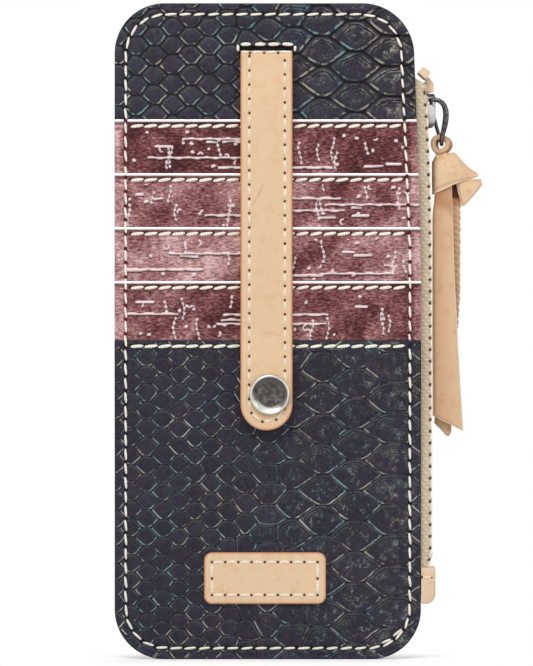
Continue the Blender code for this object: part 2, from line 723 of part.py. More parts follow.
def make_slider(metal):
    """The slider: two plates on a post, side flanges, and the bridge that holds the puller."""
    low, high = SLIDER_BOTTOM_Z, SLIDER_TOP_Z
    half = SLIDER_HALF_THICKNESS
    shoulder, tail = SLIDER_SHOULDER / 2, SLIDER_TAIL / 2
    waist = low + 0.45 * SLIDER_LENGTH
    outline = rounded_outline(
        [
            (CHAIN_Y - tail, low),
            (CHAIN_Y + tail, low),
            (CHAIN_Y + shoulder, waist),
            (CHAIN_Y + shoulder, high),
            (CHAIN_Y - shoulder, high),
            (CHAIN_Y - shoulder, waist),
        ],
        [0.3 * tail, 0.3 * tail, 0, 0.4 * shoulder, 0.4 * shoulder, 0],
        4,
    )
    slider = place("zip_slider", prism("zip_slider", outline, "X", CHAIN_X - half, CHAIN_X + half), metal)

    channel_half = TOOTH_THICKNESS / 2 + SLIDER_CLEARANCE
    closed = TOOTH_ROOT + SLIDER_SIDE_CLEARANCE
    parted = closed + CHAIN_PART_WIDTH
    part_start = high - 0.7 * SLIDER_LENGTH
    part_end = high - 0.3 * SLIDER_LENGTH
    over = TOOTH_PITCH
    channel = [
        (CHAIN_Y - closed, low - over),
        (CHAIN_Y + closed, low - over),
        (CHAIN_Y + closed, part_start - TOOTH_HEIGHT),
        (CHAIN_Y + parted, part_end - TOOTH_HEIGHT),
        (CHAIN_Y + parted, high + over),
        (CHAIN_Y - parted, high + over),
        (CHAIN_Y - parted, part_end - TOOTH_HEIGHT),
        (CHAIN_Y - closed, part_start - TOOTH_HEIGHT),
    ]
    mesh = prism("slider_channel", channel, "X", CHAIN_X - channel_half, CHAIN_X + channel_half)
    cut(slider, place("slider_channel", mesh, cutter=True))
    cut(
        slider,
        cutter_box(
            "slider_slit",
            (CHAIN_X - SLIDER_SLIT / 2, CHAIN_Y - 2 * shoulder, low - over),
            (CHAIN_X + SLIDER_SLIT / 2, CHAIN_Y + 2 * shoulder, high + over),
        ),
    )
    post_half = SLIDER_POST_WIDTH / 2
    post = [
        (CHAIN_Y, high - SLIDER_POST_LENGTH),
        (CHAIN_Y + post_half, high - 0.3 * SLIDER_POST_LENGTH),
        (CHAIN_Y + 0.6 * post_half, high - 0.02 * SLIDER_POST_LENGTH),
        (CHAIN_Y - 0.6 * post_half, high - 0.02 * SLIDER_POST_LENGTH),
        (CHAIN_Y - post_half, high - 0.3 * SLIDER_POST_LENGTH),
    ]
    reach = half - SLIDER_PLATE / 2
    mesh = prism("slider_post", post, "X", CHAIN_X - reach, CHAIN_X + reach)
    cut(slider, place("slider_post", mesh, cutter=True), "UNION")

    sink = SLIDER_PLATE / 3
    foot = CHAIN_X + half - sink
    under = CHAIN_X + half + BRIDGE_GAP
    over_x = under + BRIDGE_THICKNESS
    bridge_top = high - BRIDGE_TOP_DROP
    bridge_low = bridge_top - BRIDGE_LENGTH
    arch = [
        (foot, bridge_top),
        (over_x - BRIDGE_THICKNESS, bridge_top),
        (over_x, bridge_top - BRIDGE_FOOT),
        (over_x, bridge_low + 1.6 * BRIDGE_FOOT),
        (over_x - BRIDGE_THICKNESS, bridge_low + 0.5 * BRIDGE_FOOT),
        (foot, bridge_low),
        (foot, bridge_low + 1.2 * BRIDGE_FOOT),
        (under, bridge_low + 2.2 * BRIDGE_FOOT),
        (under, bridge_top - BRIDGE_FOOT),
        (foot, bridge_top - BRIDGE_FOOT),
    ]
    half_bridge = BRIDGE_WIDTH / 2
    mesh = prism("slider_bridge", arch, "Y", CHAIN_Y - half_bridge, CHAIN_Y + half_bridge)
    cut(slider, place("slider_bridge", mesh, cutter=True), "UNION")
    return slider


def tube(name, points, radius, made_of, cyclic, resolution):
    """A round wire along points, as a curve made into a closed mesh."""
    curve = bpy.data.curves.new(name, "CURVE")
    curve.dimensions = "3D"
    curve.bevel_depth = radius
    curve.bevel_resolution = resolution
    curve.use_fill_caps = True
    spline = curve.splines.new("POLY")
    spline.points.add(len(points) - 1)
    for point, place_at in zip(spline.points, points):
        point.co = (*place_at, 1.0)
    spline.use_cyclic_u = cyclic
    obj = bpy.data.objects.new(name, curve)
    bpy.data.collections[COLLECTION_NAME].objects.link(obj)
    curve.materials.append(made_of)
    return obj


def make_puller_ring(metal):
    """A bent wire loop: its top bar sits under the bridge, its lower bar carries the pull.

    Its front leg bows out and its rear leg runs nearly straight, so the loop stands open from the front.
    """
    half = RING_WIDTH / 2
    x, z = RING_PIVOT_X, RING_PIVOT_Z
    bar_half = 0.65 * half
    bowed = [
        (0.38, 0.00),
        (0.72, -0.06),
        (0.94, -0.19),
        (1.00, -0.36),
        (0.95, -0.54),
        (0.84, -0.72),
        (0.73, -0.90),
    ]
    straight = [
        (0.04, -0.05),
        (0.10, -0.19),
        (0.21, -0.36),
        (0.35, -0.54),
        (0.50, -0.72),
        (0.65, -0.90),
    ]

    def leg(shares, side):
        start = (x, CHAIN_Y + side * bar_half, z)
        end = (x + RING_BAR_OUT, CHAIN_Y + side * bar_half, z - RING_DROP)
        along = [(x + dx * RING_REACH, CHAIN_Y + side * half, z + dz * RING_DROP) for dx, dz in shares]
        return [start] + along + [end]

    points = leg(bowed, -1) + list(reversed(leg(straight, 1)))
    ring = tube("puller_ring", points, RING_WIRE / 2, metal, True, 2)
    ring.data.transform(Matrix.Translation((-x, -CHAIN_Y, -z)))
    ring.location = (x, CHAIN_Y, z)
    return ring


def make_pull(natural):
    """The leather pull: a loop round the ring's lower bar, a knot, and two hanging tails."""
    x = PULL_PIVOT_X
    loop_z = PULL_PIVOT_Z - (LOOP_HOLE_RADIUS - RING_WIRE / 2 - RING_CLEARANCE)
    left = LIP_X + PULL_SIDE_GAP
    top = loop_z - LOOP_RADIUS + KNOT_OVERLAP
    half_loop = LOOP_WIDTH / 2
    ring = prism(
        "leather_pull", circle(x, loop_z, LOOP_RADIUS, 20), "Y", CHAIN_Y - half_loop, CHAIN_Y + half_loop
    )
    pull = place("leather_pull", ring, natural)
    hole = prism("loop_hole", circle(x, loop_z, LOOP_HOLE_RADIUS, 14), "Y", -BODY_WIDTH, BODY_WIDTH)
    cut(pull, place("loop_hole", hole, cutter=True))

    def join(name, shares, radii, front, rear):
        corners = [(left + across * KNOT_WIDTH, top - down * KNOT_HEIGHT) for across, down in shares]
        outline = rounded_outline(corners, [share * THONG_THICKNESS for share in radii], 3)
        mesh = prism(name, outline, "Y", CHAIN_Y + front, CHAIN_Y + rear)
        cut(pull, place(name, mesh, cutter=True), "UNION")

    neck = box(
        "loop_neck",
        (x - 0.62 * LOOP_RADIUS, CHAIN_Y - 0.8 * half_loop, top - 0.3 * KNOT_HEIGHT),
        (x + 0.62 * LOOP_RADIUS, CHAIN_Y + 0.8 * half_loop, loop_z - LOOP_HOLE_RADIUS - LAYER_GAP),
    )
    cut(pull, place("loop_neck", neck, cutter=True), "UNION")
    half_knot = KNOT_DEPTH / 2
    join(
        "knot_wrap",
        [(0.0, 1.0), (0.0, 0.24), (0.04, 0.10), (0.49, -0.01), (1.0, 0.52), (1.0, 0.61)],
        [0.5, 0.5, 0.7, 1.0, 0.2, 0.2],
        -half_knot,
        half_knot,
    )
    join(
        "knot_bight",
        [(0.46, 0.70), (1.09, 0.60), (1.12, 0.71), (0.70, 1.25), (0.59, 1.24)],
        [0.0, 0.4, 0.5, 0.5, 0.4],
        -0.60 * half_knot,
        0.75 * half_knot,
    )

    tail_top = top - KNOT_HEIGHT / 2
    front_end = top - FRONT_TAIL_LENGTH
    rear_end = top - REAR_TAIL_LENGTH
    thick = THONG_THICKNESS / 2
    front = [
        (left, tail_top),
        (left, front_end + 0.55 * TAIL_WIDTH),
        (left + TAIL_WIDTH, front_end),
        (left + 0.86 * TAIL_WIDTH, front_end + 0.25 * FRONT_TAIL_LENGTH),
        (left + 0.60 * TAIL_WIDTH, tail_top),
    ]
    front_y = CHAIN_Y - 0.62 * half_knot
    mesh = prism("front_tail", front, "Y", front_y - thick, front_y + thick)
    cut(pull, place("front_tail", mesh, cutter=True), "UNION")

    rear = [
        (left + 0.30 * TAIL_WIDTH, tail_top),
        (left, rear_end + 0.45 * TAIL_WIDTH),
        (left + 0.50 * TAIL_WIDTH, rear_end),
        (left + 0.58 * TAIL_WIDTH, rear_end + 0.35 * TAIL_WIDTH),
        (left + 0.88 * TAIL_WIDTH, top - 0.50 * REAR_TAIL_LENGTH),
        (left + 0.90 * TAIL_WIDTH, tail_top),
    ]
    rear_y = CHAIN_Y + 0.40 * half_knot
    mesh = prism("rear_tail", rear, "Y", rear_y - thick, rear_y + thick)
    cut(pull, place("rear_tail", mesh, cutter=True), "UNION")
    set_origin(pull, (PULL_PIVOT_X, CHAIN_Y, PULL_PIVOT_Z))
    return pull


def snap_levels():
    """Depths of the snap's pieces, from the front pocket outwards."""
    lean = (SNAP_Z + STUD_FLANGE_RADIUS - FRONT_POCKET_TOP_Z) * SHEET_LEAN
    ahead = SHEET_THICKNESS + LAYER_GAP + PANEL_THICKNESS
    pocket_front = sheet_rear_y(FRONT_POCKET_TOP_Z, LAST_POCKET_TOP_Z) - ahead - lean
    flange = pocket_front - LAYER_GAP
    socket = flange - STUD_FLANGE_HEIGHT - LAYER_GAP
    strap = socket - SOCKET_HEIGHT - LAYER_GAP
    cap = strap - STRAP_THICKNESS - LAYER_GAP
    return flange, socket, strap, cap


def strap_rear_y(z):
    """The strap's rear face, which rides over the pocket edges and out to the snap."""
    over_sheets = sheet_rear_y(FIRST_POCKET_TOP_Z, FIRST_POCKET_TOP_Z) - SHEET_THICKNESS
    over_sheets -= ROLLED_EDGE + LAYER_GAP
    pocket_front = sheet_rear_y(FRONT_POCKET_TOP_Z, LAST_POCKET_TOP_Z) - SHEET_THICKNESS
    pocket_front -= LAYER_GAP + PANEL_THICKNESS
    over_pocket = min(pocket_front - LAYER_GAP, over_sheets)
    snap_y = snap_levels()[2]
    keys = [
        (STRAP_SPLIT_Z, STRAP_REST_Y),
        (FIRST_POCKET_TOP_Z + 0.0036, over_sheets),
        (FRONT_POCKET_TOP_Z + 0.0040, over_pocket),
        (SNAP_Z + SOCKET_RADIUS + 0.0008, snap_y),
        (STRAP_BOTTOM_Z, snap_y),
    ]
    for (high_z, high_y), (low_z, low_y) in zip(keys, keys[1:]):
        if z >= low_z:
            return high_y + (low_y - high_y) * ease((high_z - z) / (high_z - low_z))
    return keys[-1][1]


def make_strap(natural):
    """The strap's two layers, split from the sewn end at the bend below its slit."""
    left = STRAP_CENTRE_X - STRAP_WIDTH / 2
    right = STRAP_CENTRE_X + STRAP_WIDTH / 2
    top = STRAP_SPLIT_Z - LAYER_GAP / 2
    knees = [
        FIRST_POCKET_TOP_Z + 0.0036,
        FRONT_POCKET_TOP_Z + 0.0040,
        SNAP_Z + SOCKET_RADIUS + 0.0008,
    ]
    levels = [top - (top - knees[0]) * step / STRAP_STEPS for step in range(STRAP_STEPS)]
    levels += [knees[0] - (knees[0] - knees[1]) * step / 4 for step in range(4)]
    levels += [knees[1] - (knees[1] - knees[2]) * step / STRAP_STEPS for step in range(STRAP_STEPS + 1)]
    levels += [STRAP_BOTTOM_Z - LAYER_GAP]
    rear_line = [(z, strap_rear_y(z)) for z in levels]
    front_line = [(z, y - STRAP_BACKING_THICKNESS - LAYER_GAP) for z, y in rear_line]
    radius = STRAP_WIDTH / 2
    outline = rounded_outline(
        [(left, 2 * top), (left, STRAP_BOTTOM_Z), (right, STRAP_BOTTOM_Z), (right, 2 * top)],
        [0, 0.999 * radius, 0.999 * radius, 0],
        10,
    )
    outline_cutter = place(
        "strap_outline", prism("strap_outline", outline, "Y", -BODY_WIDTH, BODY_WIDTH), cutter=True
    )
    hole = prism(
        "cap_hole", circle(SNAP_X, SNAP_Z, SHANK_RADIUS + SHANK_CLEARANCE), "Y", -BODY_WIDTH, BODY_WIDTH
    )
    hole_cutter = place("cap_hole", hole, cutter=True)
    layers = (
        ("strap_backing", rear_line, STRAP_BACKING_THICKNESS),
        ("strap_front", front_line, STRAP_FRONT_THICKNESS),
    )
    for name, line, thickness in layers:
        layer = drawn_sheet(name, line, thickness, natural, 2 * left, 2 * right)
        cut(layer, outline_cutter, "INTERSECT")
        cut(layer, hole_cutter)
        pivot = Vector((STRAP_CENTRE_X, STRAP_PIVOT_Y, STRAP_SPLIT_Z))
        set_origin(layer, pivot)

    front = STRAP_REST_Y - STRAP_THICKNESS
    low = STRAP_SPLIT_Z + LAYER_GAP / 2
    neck_low = SLIT_TOP_Z - SLIT_HEIGHT + SLIT_CLEARANCE
    neck_high = SLIT_TOP_Z - 0.0008
    anchor = [
        (STRAP_REST_Y, low),
        (front, low),
        (front, neck_high - 0.0011),
        (front + 0.0004, neck_high - 0.0003),
        (front + 0.0011, neck_high),
        (BACKING_FRONT_Y, neck_high),
        (BACKING_FRONT_Y, STRAP_TAIL_TOP_Z),
        (BACKING_REAR_Y, STRAP_TAIL_TOP_Z),
        (BACKING_REAR_Y, neck_low),
        (STRAP_REST_Y, neck_low),
    ]
    place("strap_sewn_end", prism("strap_sewn_end", anchor, "X", left, right), natural)


def make_snap(nickel):
    """The snap: a cap and socket on the strap, and a stud on the front pocket."""
    flange, socket, strap, cap = snap_levels()
    shank_length = STRAP_THICKNESS + LAYER_GAP
    profile = [
        (0.0, CAP_HEIGHT * 0.45),
        (CAP_RADIUS * 0.45, CAP_HEIGHT * 0.52),
        (CAP_RADIUS * 0.80, CAP_HEIGHT * 0.72),
        (CAP_RADIUS * 0.90, CAP_HEIGHT),
        (CAP_RADIUS * 0.97, CAP_HEIGHT * 0.92),
        (CAP_RADIUS, CAP_HEIGHT - CAP_RIM),
        (CAP_RADIUS * 0.94, 0.0),
        (SHANK_RADIUS, 0.0),
        (SHANK_RADIUS, -shank_length),
        (0.0, -shank_length),
    ]
    turned("snap_cap", profile, nickel, cap)

    inner = STUD_RADIUS + SNAP_CLEARANCE
    profile = [
        (inner, SOCKET_HEIGHT),
        (SOCKET_RADIUS, SOCKET_HEIGHT),
        (SOCKET_RADIUS, 0.55 * SOCKET_HEIGHT),
        (0.72 * SOCKET_RADIUS, 0.0),
        (inner, 0.0),
    ]
    turned("snap_socket", profile, nickel, socket)

    through = PANEL_THICKNESS + LAYER_GAP
    profile = [
        (0.0, STUD_FLANGE_HEIGHT + STUD_HEIGHT),
        (0.7 * STUD_RADIUS, STUD_FLANGE_HEIGHT + STUD_HEIGHT),
        (STUD_RADIUS, STUD_FLANGE_HEIGHT + 0.7 * STUD_HEIGHT),
        (0.85 * STUD_RADIUS, STUD_FLANGE_HEIGHT + 0.2 * STUD_HEIGHT),
        (0.90 * STUD_RADIUS, STUD_FLANGE_HEIGHT),
        (STUD_FLANGE_RADIUS, STUD_FLANGE_HEIGHT * 0.8),
        (STUD_FLANGE_RADIUS, 0.0),
        (SHANK_RADIUS, 0.0),
        (SHANK_RADIUS, -through),
        (0.0, -through),
    ]
    turned("snap_stud", profile, nickel, flange)
    for name in ("snap_cap", "snap_socket"):
        piece = bpy.data.objects[name]
        set_origin(piece, Vector((STRAP_CENTRE_X, STRAP_PIVOT_Y, STRAP_SPLIT_Z)))


def make_label(natural):
    """The bare leather patch sewn to the front pocket."""
    half_w, half_h = LABEL_WIDTH / 2, LABEL_HEIGHT / 2
    x, z = LABEL_CENTRE_X, LABEL_CENTRE_Z
    outline = rounded_outline(
        [
            (x - half_w, z - half_h),
            (x + half_w, z - half_h),
            (x + half_w, z + half_h),
            (x - half_w, z + half_h),
        ],
        [LABEL_CORNER] * 4,
        4,
    )
    rear = PANEL_FRONT_Y - LAYER_GAP
    place("label_patch", prism("label_patch", outline, "Y", rear - LABEL_THICKNESS, rear), natural)


def main():
    clear_scene()
    for name in (COLLECTION_NAME, CUTTER_COLLECTION_NAME):
        collection = bpy.data.collections.new(name)
        bpy.context.scene.collection.children.link(collection)
    leather = material("embossed_leather", 0x34333B, 0.45)
    metallic_pink = material("metallic_leather", 0x8A6164, 0.35, 0.6)
    natural = material("natural_leather", 0xE8C9A4, 0.6)
    board = material("backing_board", 0x5B4A3C, 0.85)
    lining = material("lining_cloth", 0xBFB293, 0.9)
    tape = material("zip_tape", 0xBFB59B, 0.85)
    nickel = material("antique_nickel", 0x6E6A66, 0.3, 1.0)

    outline, inner = make_front(leather, metallic_pink, board, lining)
    make_back(leather, lining, outline, inner)
    make_tape("zip_tape_front", -1, tape)
    make_tape("zip_tape_back", 1, tape)
    make_chain("zip_chain_front", -1, nickel)
    make_chain("zip_chain_back", 1, nickel)
    make_stops(nickel)
    make_end_tabs(natural)
    make_slider(nickel)
    make_puller_ring(nickel)
    make_pull(natural)
    make_strap(natural)
    make_snap(nickel)
    make_label(natural)


main()
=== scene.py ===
import json
import math
import random

import bmesh
import bpy
import numpy as np
from mathutils import Matrix, Vector

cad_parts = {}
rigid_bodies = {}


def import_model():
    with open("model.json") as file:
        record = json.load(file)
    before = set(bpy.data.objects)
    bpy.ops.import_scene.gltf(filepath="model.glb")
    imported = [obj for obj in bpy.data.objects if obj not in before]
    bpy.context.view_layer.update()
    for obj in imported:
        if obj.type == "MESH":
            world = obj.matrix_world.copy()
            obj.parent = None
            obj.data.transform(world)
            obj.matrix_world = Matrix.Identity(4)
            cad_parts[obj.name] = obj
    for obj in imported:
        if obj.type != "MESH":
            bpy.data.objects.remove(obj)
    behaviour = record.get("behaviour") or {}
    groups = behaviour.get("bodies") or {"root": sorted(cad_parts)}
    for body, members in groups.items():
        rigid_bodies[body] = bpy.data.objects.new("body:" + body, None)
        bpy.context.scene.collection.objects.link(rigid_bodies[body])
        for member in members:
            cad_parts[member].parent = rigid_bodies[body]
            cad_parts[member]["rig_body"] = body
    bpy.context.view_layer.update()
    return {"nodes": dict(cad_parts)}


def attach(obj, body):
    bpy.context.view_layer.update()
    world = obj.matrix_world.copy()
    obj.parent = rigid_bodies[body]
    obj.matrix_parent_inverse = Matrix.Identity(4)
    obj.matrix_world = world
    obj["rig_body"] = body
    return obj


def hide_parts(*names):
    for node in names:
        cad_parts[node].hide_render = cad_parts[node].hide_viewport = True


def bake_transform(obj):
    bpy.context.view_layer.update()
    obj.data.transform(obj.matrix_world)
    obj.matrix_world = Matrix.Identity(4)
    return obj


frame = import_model()

# Lengths in this script are in millimetres until a mesh is written, which is in metres.
MM = 0.001

# The case seen from the front, in the frame of the CAD model. Z is up, and -Y is towards the front.
WIDTH = 95.0
HALF_WIDTH = WIDTH / 2
HEIGHT = 203.5
CORNER = 15.5
# The right side draws in by this much from a height up to the top.
NARROWING = 2.6
NARROWING_Z = 128.0
HIDE = 1.0
PANEL_REAR = -0.65
PANEL_FLAT = PANEL_REAR - HIDE
# The upper panel steps forward over the first card pocket, below its bend.
PANEL_STEP = 0.808
BEND_Z = 186.0
POCKET_TOPS = (167.4, 150.7, 134.0, 117.3)
POCKET_DEPTH = 44.0
POCKET_LEAN = 0.0479
POCKET_SHEET = 0.5
FRONT_POCKET_TOP = 99.0
FRONT_POCKET_KNEE = 56.6
FRONT_POCKET_OUT = 2.031
# The strap's slit: left, right, bottom and top.
SLIT = (-8.75, 7.95, 187.0, 190.2)
SEAM_INSET = 3.45
SEAM_PITCH = 4.4
# The crown of the back: how far it stands out, and the face that it rises from.
CROWN = 7.4
BACK_FLAT = 1.85
STRAP_LEFT, STRAP_RIGHT = -8.45, 7.65
STRAP_TOP, STRAP_BOTTOM = 186.4, 71.1
# Heights of the strap's rear face, from its slit down over the pockets to its end.
STRAP_KEYS = ((186.55, -1.95), (171.0, -3.81), (103.0, -3.98), (87.8, -5.70), (71.1, -5.70))
SNAP = (0.6, 82.1)
CHAIN_Y = 4.35


# --- The case's outline and faces

def ease(value):
    t = np.clip(value, 0.0, 1.0)
    return t * t * (3 - 2 * t)


def close_to(distance, width):
    """1 on a line or a spot, falling to nothing within about twice a width."""
    return np.exp(-((distance / width) ** 2))


def rounded(edge, radius):
    """How far a rounded edge has fallen back, at a distance in from its cut."""
    near = np.clip(edge, 0, radius)
    return radius - np.sqrt(np.maximum(radius**2 - (radius - near) ** 2, 0))


def from_corner(across, up, radius):
    """Distance in from a rounded corner's cut edge, where across and up are those to its two sides."""
    arc = radius - np.hypot(radius - across, radius - up)
    return np.where((across < radius) & (up < radius), arc, np.minimum(across, up))


def right_side(z):
    return HALF_WIDTH - NARROWING * np.clip((z - NARROWING_Z) / (HEIGHT - NARROWING_Z), 0, 1)


def corner_draw(z, low, high, radius):
    """How far rounded corners draw a side in at a height."""
    return rounded(np.minimum(z - low, high - z), radius)


def rim_distance(x, z):
    """How far a point on the case's face is from the cut edge."""
    return from_corner(np.minimum(x + HALF_WIDTH, right_side(z) - x), np.minimum(z, HEIGHT - z), CORNER)


def crown(x, z):
    """How far the back of the compartment stands out, from 0 at its seams to 1 beside the zip."""
    return ease((x + 43.0) / 53.0) * np.minimum(ease((z - 4.5) / 25.5), ease((199.0 - z) / 21.0))


def pinch(y, z):
    """Draws the gusset's depth in where the crown falls to the seams."""
    return y - CROWN * (1 - crown(HALF_WIDTH, z)) * np.clip((y - 0.35) / 8.0, 0, 1)


def lip_x(z):
    """The outer edge of the folded zip tape: drawn in towards the top, and under the lower tab."""
    return 51.1 - 1.9 * np.clip((z - 111.3) / 66.8, 0, 1) ** 2.5 - 0.9 * (1 - ease((z - 28.4) / 4.1))


def part_width(z):
    """How far each tape stands back from the closed chain, in the slider and above it."""
    return 1.35 * ease((z - 167.89) / 5.65)


def level(y):
    """A face that stands at one depth."""
    return lambda z: y + 0 * z


def panel_face(z):
    """Front of the upper panel, bent forward over the first card pocket."""
    bent = PANEL_FLAT - PANEL_STEP * ease((BEND_Z - z) / (BEND_Z - POCKET_TOPS[0]))
    below = PANEL_FLAT - PANEL_STEP + (POCKET_TOPS[0] - z) * POCKET_LEAN
    return np.where(z > POCKET_TOPS[0], bent, below)


def pocket_face(z, top):
    return PANEL_REAR - (z - top + POCKET_DEPTH) * POCKET_LEAN - POCKET_SHEET


def front_pocket_face(z):
    rise = np.clip((z - FRONT_POCKET_KNEE) / (FRONT_POCKET_TOP - FRONT_POCKET_KNEE), 0, 1)
    return PANEL_FLAT - FRONT_POCKET_OUT * rise


def case_face(z):
    """The face that shows at a height, whichever sheet it belongs to."""
    y = panel_face(z)
    for top in POCKET_TOPS:
        y = np.where(z < top, pocket_face(z, top), y)
    return np.where(z < FRONT_POCKET_TOP, front_pocket_face(z), y)


def strap_rear(z):
    y = np.full_like(np.asarray(z, float), STRAP_KEYS[-1][1])
    for (high_z, high_y), (low_z, low_y) in reversed(list(zip(STRAP_KEYS, STRAP_KEYS[1:]))):
        part = high_y + (low_y - high_y) * ease((high_z - z) / (high_z - low_z))
        y = np.where(z >= low_z, part, y)
    return y


# --- Meshes

def write_mesh(name, bm, made_of, body, replaces=(), sharp=50):
    """Turns a shaped bmesh into a piece of the object that rides on a body."""
    mesh = bpy.data.meshes.new(name)
    bm.to_mesh(mesh)
    bm.free()
    return register(name, mesh, made_of, body, replaces, sharp)


def register(name, mesh, made_of, body, replaces=(), sharp=50):
    mesh.shade_smooth()
    mesh.set_sharp_from_angle(angle=math.radians(sharp))
    piece = bpy.data.objects.new(name, mesh)
    bpy.context.scene.collection.objects.link(piece)
    mesh.materials.append(made_of)
    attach(piece, body)
    if replaces:
        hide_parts(*replaces)
    return piece


def set_values(mesh, **values):
    """Marks on the surface. hole and edge come as distances and are kept as nearness, 1 on the spot."""
    for name, data in values.items():
        if name in ("hole", "edge"):
            data = np.clip(1 - np.asarray(data, float), 0, 1)
        layer = mesh.attributes.new(name, "FLOAT", "POINT")
        layer.data.foreach_set("value", np.asarray(data, np.float32))


def spaced(low, high, pitch):
    """Positions that are close together at both ends, where an edge is rounded."""
    ends, start = np.array([0, 0.05, 0.15, 0.32]), 0.6
    count = max(int(round((high - low - 2 * start) / pitch)), 1)
    return np.concatenate([low + ends, np.linspace(low + start, high - start, count + 1), high - ends[::-1]])


def only_verts(geometry):
    return [item for item in geometry if isinstance(item, bmesh.types.BMVert)]


def boundary(bm):
    return [edge for edge in bm.edges if edge.is_boundary]


def sheet_mesh(name, columns, levels, both_faces=False):
    """A closed sheet as a unit block: u across, v up, and w from 0 on the face to 1 at the rear.

    Its rear is bridged from side to side, or is a grid like the face where it has to follow a crown.
    """
    bm = bmesh.new()
    bmesh.ops.create_grid(bm, x_segments=len(columns) - 1, y_segments=len(levels) - 1, size=0.5)
    if both_faces:
        rear = bmesh.ops.duplicate(bm, geom=bm.verts[:] + bm.edges[:] + bm.faces[:])["geom"]
        bmesh.ops.translate(bm, vec=(0, 0, 1), verts=only_verts(rear))
        bmesh.ops.bridge_loops(bm, edges=boundary(bm))
    else:
        ring = bmesh.ops.extrude_edge_only(bm, edges=boundary(bm))["geom"]
        bmesh.ops.translate(bm, vec=(0, 0, 1), verts=only_verts(ring))
        sides = [edge for edge in boundary(bm) if abs(sum(v.co.x for v in edge.verts)) > 0.9999]
        bmesh.ops.bridge_loops(bm, edges=sides)
        bmesh.ops.holes_fill(bm, edges=boundary(bm))
    bmesh.ops.recalc_face_normals(bm, faces=bm.faces)
    bmesh.ops.reverse_faces(bm, faces=bm.faces)
    mesh = bpy.data.meshes.new(name)
    bm.to_mesh(mesh)
    bm.free()
    co = np.zeros(len(mesh.vertices) * 3)
    mesh.vertices.foreach_get("co", co)
    u, v, w = co.reshape(-1, 3).T
    across = np.rint((u + 0.5) * (len(columns) - 1)).astype(int)
    up = np.rint((v + 0.5) * (len(levels) - 1)).astype(int)
    return mesh, np.asarray(columns)[across], np.asarray(levels)[up], w


def put(mesh, x, y, z):
    mesh.vertices.foreach_set("co", (np.stack([x, y, z], 1) * MM).ravel())
    mesh.update()


def nearest(x, z, points):
    """Distance from each x, z to the nearest of some points."""
    best = np.full(len(x), 99.0)
    for px, pz in points:
        best = np.minimum(best, np.hypot(x - px, z - pz))
    return best


def swept(name, rings, made_of, body, slot, replaces=(), capped=True, sharp=50, **values):
    """A closed skin through rings of points, one ring for each level, from a grid rolled up.

    The values are marks on the surface as distances, and are kept as nearness.
    """
    rings = np.asarray(rings, float)
    levels, around = rings.shape[:2]
    values = {key: np.clip(1 - np.asarray(data, float), 0, 1) for key, data in values.items()}
    bm = bmesh.new()
    bmesh.ops.create_grid(bm, x_segments=around, y_segments=levels - 1, size=0.5)
    bm.verts.ensure_lookup_table()
    sets = {key: bm.verts.layers.float.new(key) for key in values}
    for vert in bm.verts:
        column = int(round((vert.co.x + 0.5) * around)) % around
        row = int(round((vert.co.y + 0.5) * (levels - 1)))
        vert.co = Vector(rings[row, column]) * MM
        for key, layer in sets.items():
            vert[layer] = float(values[key][row, column])
    bmesh.ops.remove_doubles(bm, verts=bm.verts, dist=1e-6)
    if capped:
        bmesh.ops.holes_fill(bm, edges=boundary(bm))
    bmesh.ops.recalc_face_normals(bm, faces=bm.faces)
    return write_mesh(name, bm, made_of, body, replaces, sharp)


# --- Materials

def hex_colour(code):
    """An sRGB hex value as the linear colour that a shader takes."""
    channels = [int(code[i:i + 2], 16) / 255 for i in (1, 3, 5)]
    return [c / 12.92 if c <= 0.04045 else ((c + 0.055) / 1.055) ** 2.4 for c in channels] + [1.0]


# The output that a node gives on, where it isn't its first one. Mix nodes mix colours, from sockets 6 and 7.
MAIN_OUTPUT = {"Attribute": "Fac", "TexCoord": "Object", "TexWave": "Fac", "Mix": 2}


def add(tree, kind, values=(), stops=(), output=None, **settings):
    """Adds a node and gives its main output.

    The values go to its sockets, by name or in order, as links, constants or hex colours. A Map Range takes
    its value, the range that it comes from and the range that it goes to.
    """
    made = tree.nodes.new("ShaderNode" + kind)
    if kind == "Mix":
        made.data_type = "RGBA"
        values = dict(zip((0, 6, 7), values))
    for key, value in settings.items():
        setattr(made, key, value)
    for key, value in values.items() if isinstance(values, dict) else enumerate(values):
        if isinstance(value, bpy.types.NodeSocket):
            tree.links.new(value, made.inputs[key])
        else:
            made.inputs[key].default_value = hex_colour(value) if isinstance(value, str) else value
    if stops:
        elements = made.color_ramp.elements
        while len(elements) < len(stops):
            elements.new(0.5)
        for element, (position, colour) in zip(elements, stops):
            element.position = position
            element.color = hex_colour(colour) if isinstance(colour, str) else [colour] * 3 + [1.0]
    return made.outputs[MAIN_OUTPUT.get(kind, 0) if output is None else output]


def new_material(name, **values):
    """A material with its tree and its surface."""
    made = bpy.data.materials.new(name)
    made.use_nodes = True
    skin = made.node_tree.nodes["Principled BSDF"]
    for key, value in values.items():
        skin.inputs[key.replace("_", " ")].default_value = value
    return made, made.node_tree, skin


def tinted(tree, colour, mark, tint, low=0.0, high=None, most=1.0):
    """Lays a tint over a colour: as far as a mark on the surface says, or where it rises from low to high."""
    share = add(tree, "Attribute", attribute_name=mark)
    if high is not None:
        share = add(tree, "MapRange", [share, low, high, 0.0, most])
    return add(tree, "Mix", [share, colour, tint])


def dress(tree, skin, colour, rough=None, height=None, strength=0.5, depth=0.1):
    """Gives a surface its colour, its roughness and its relief, whose depth is in mm."""
    tree.links.new(colour, skin.inputs["Base Color"])
    if rough is not None:
        tree.links.new(rough, skin.inputs["Roughness"])
    if height is not None:
        bump = add(tree, "Bump", {"Strength": strength, "Distance": depth * MM, "Height": height})
        tree.links.new(bump, skin.inputs["Normal"])


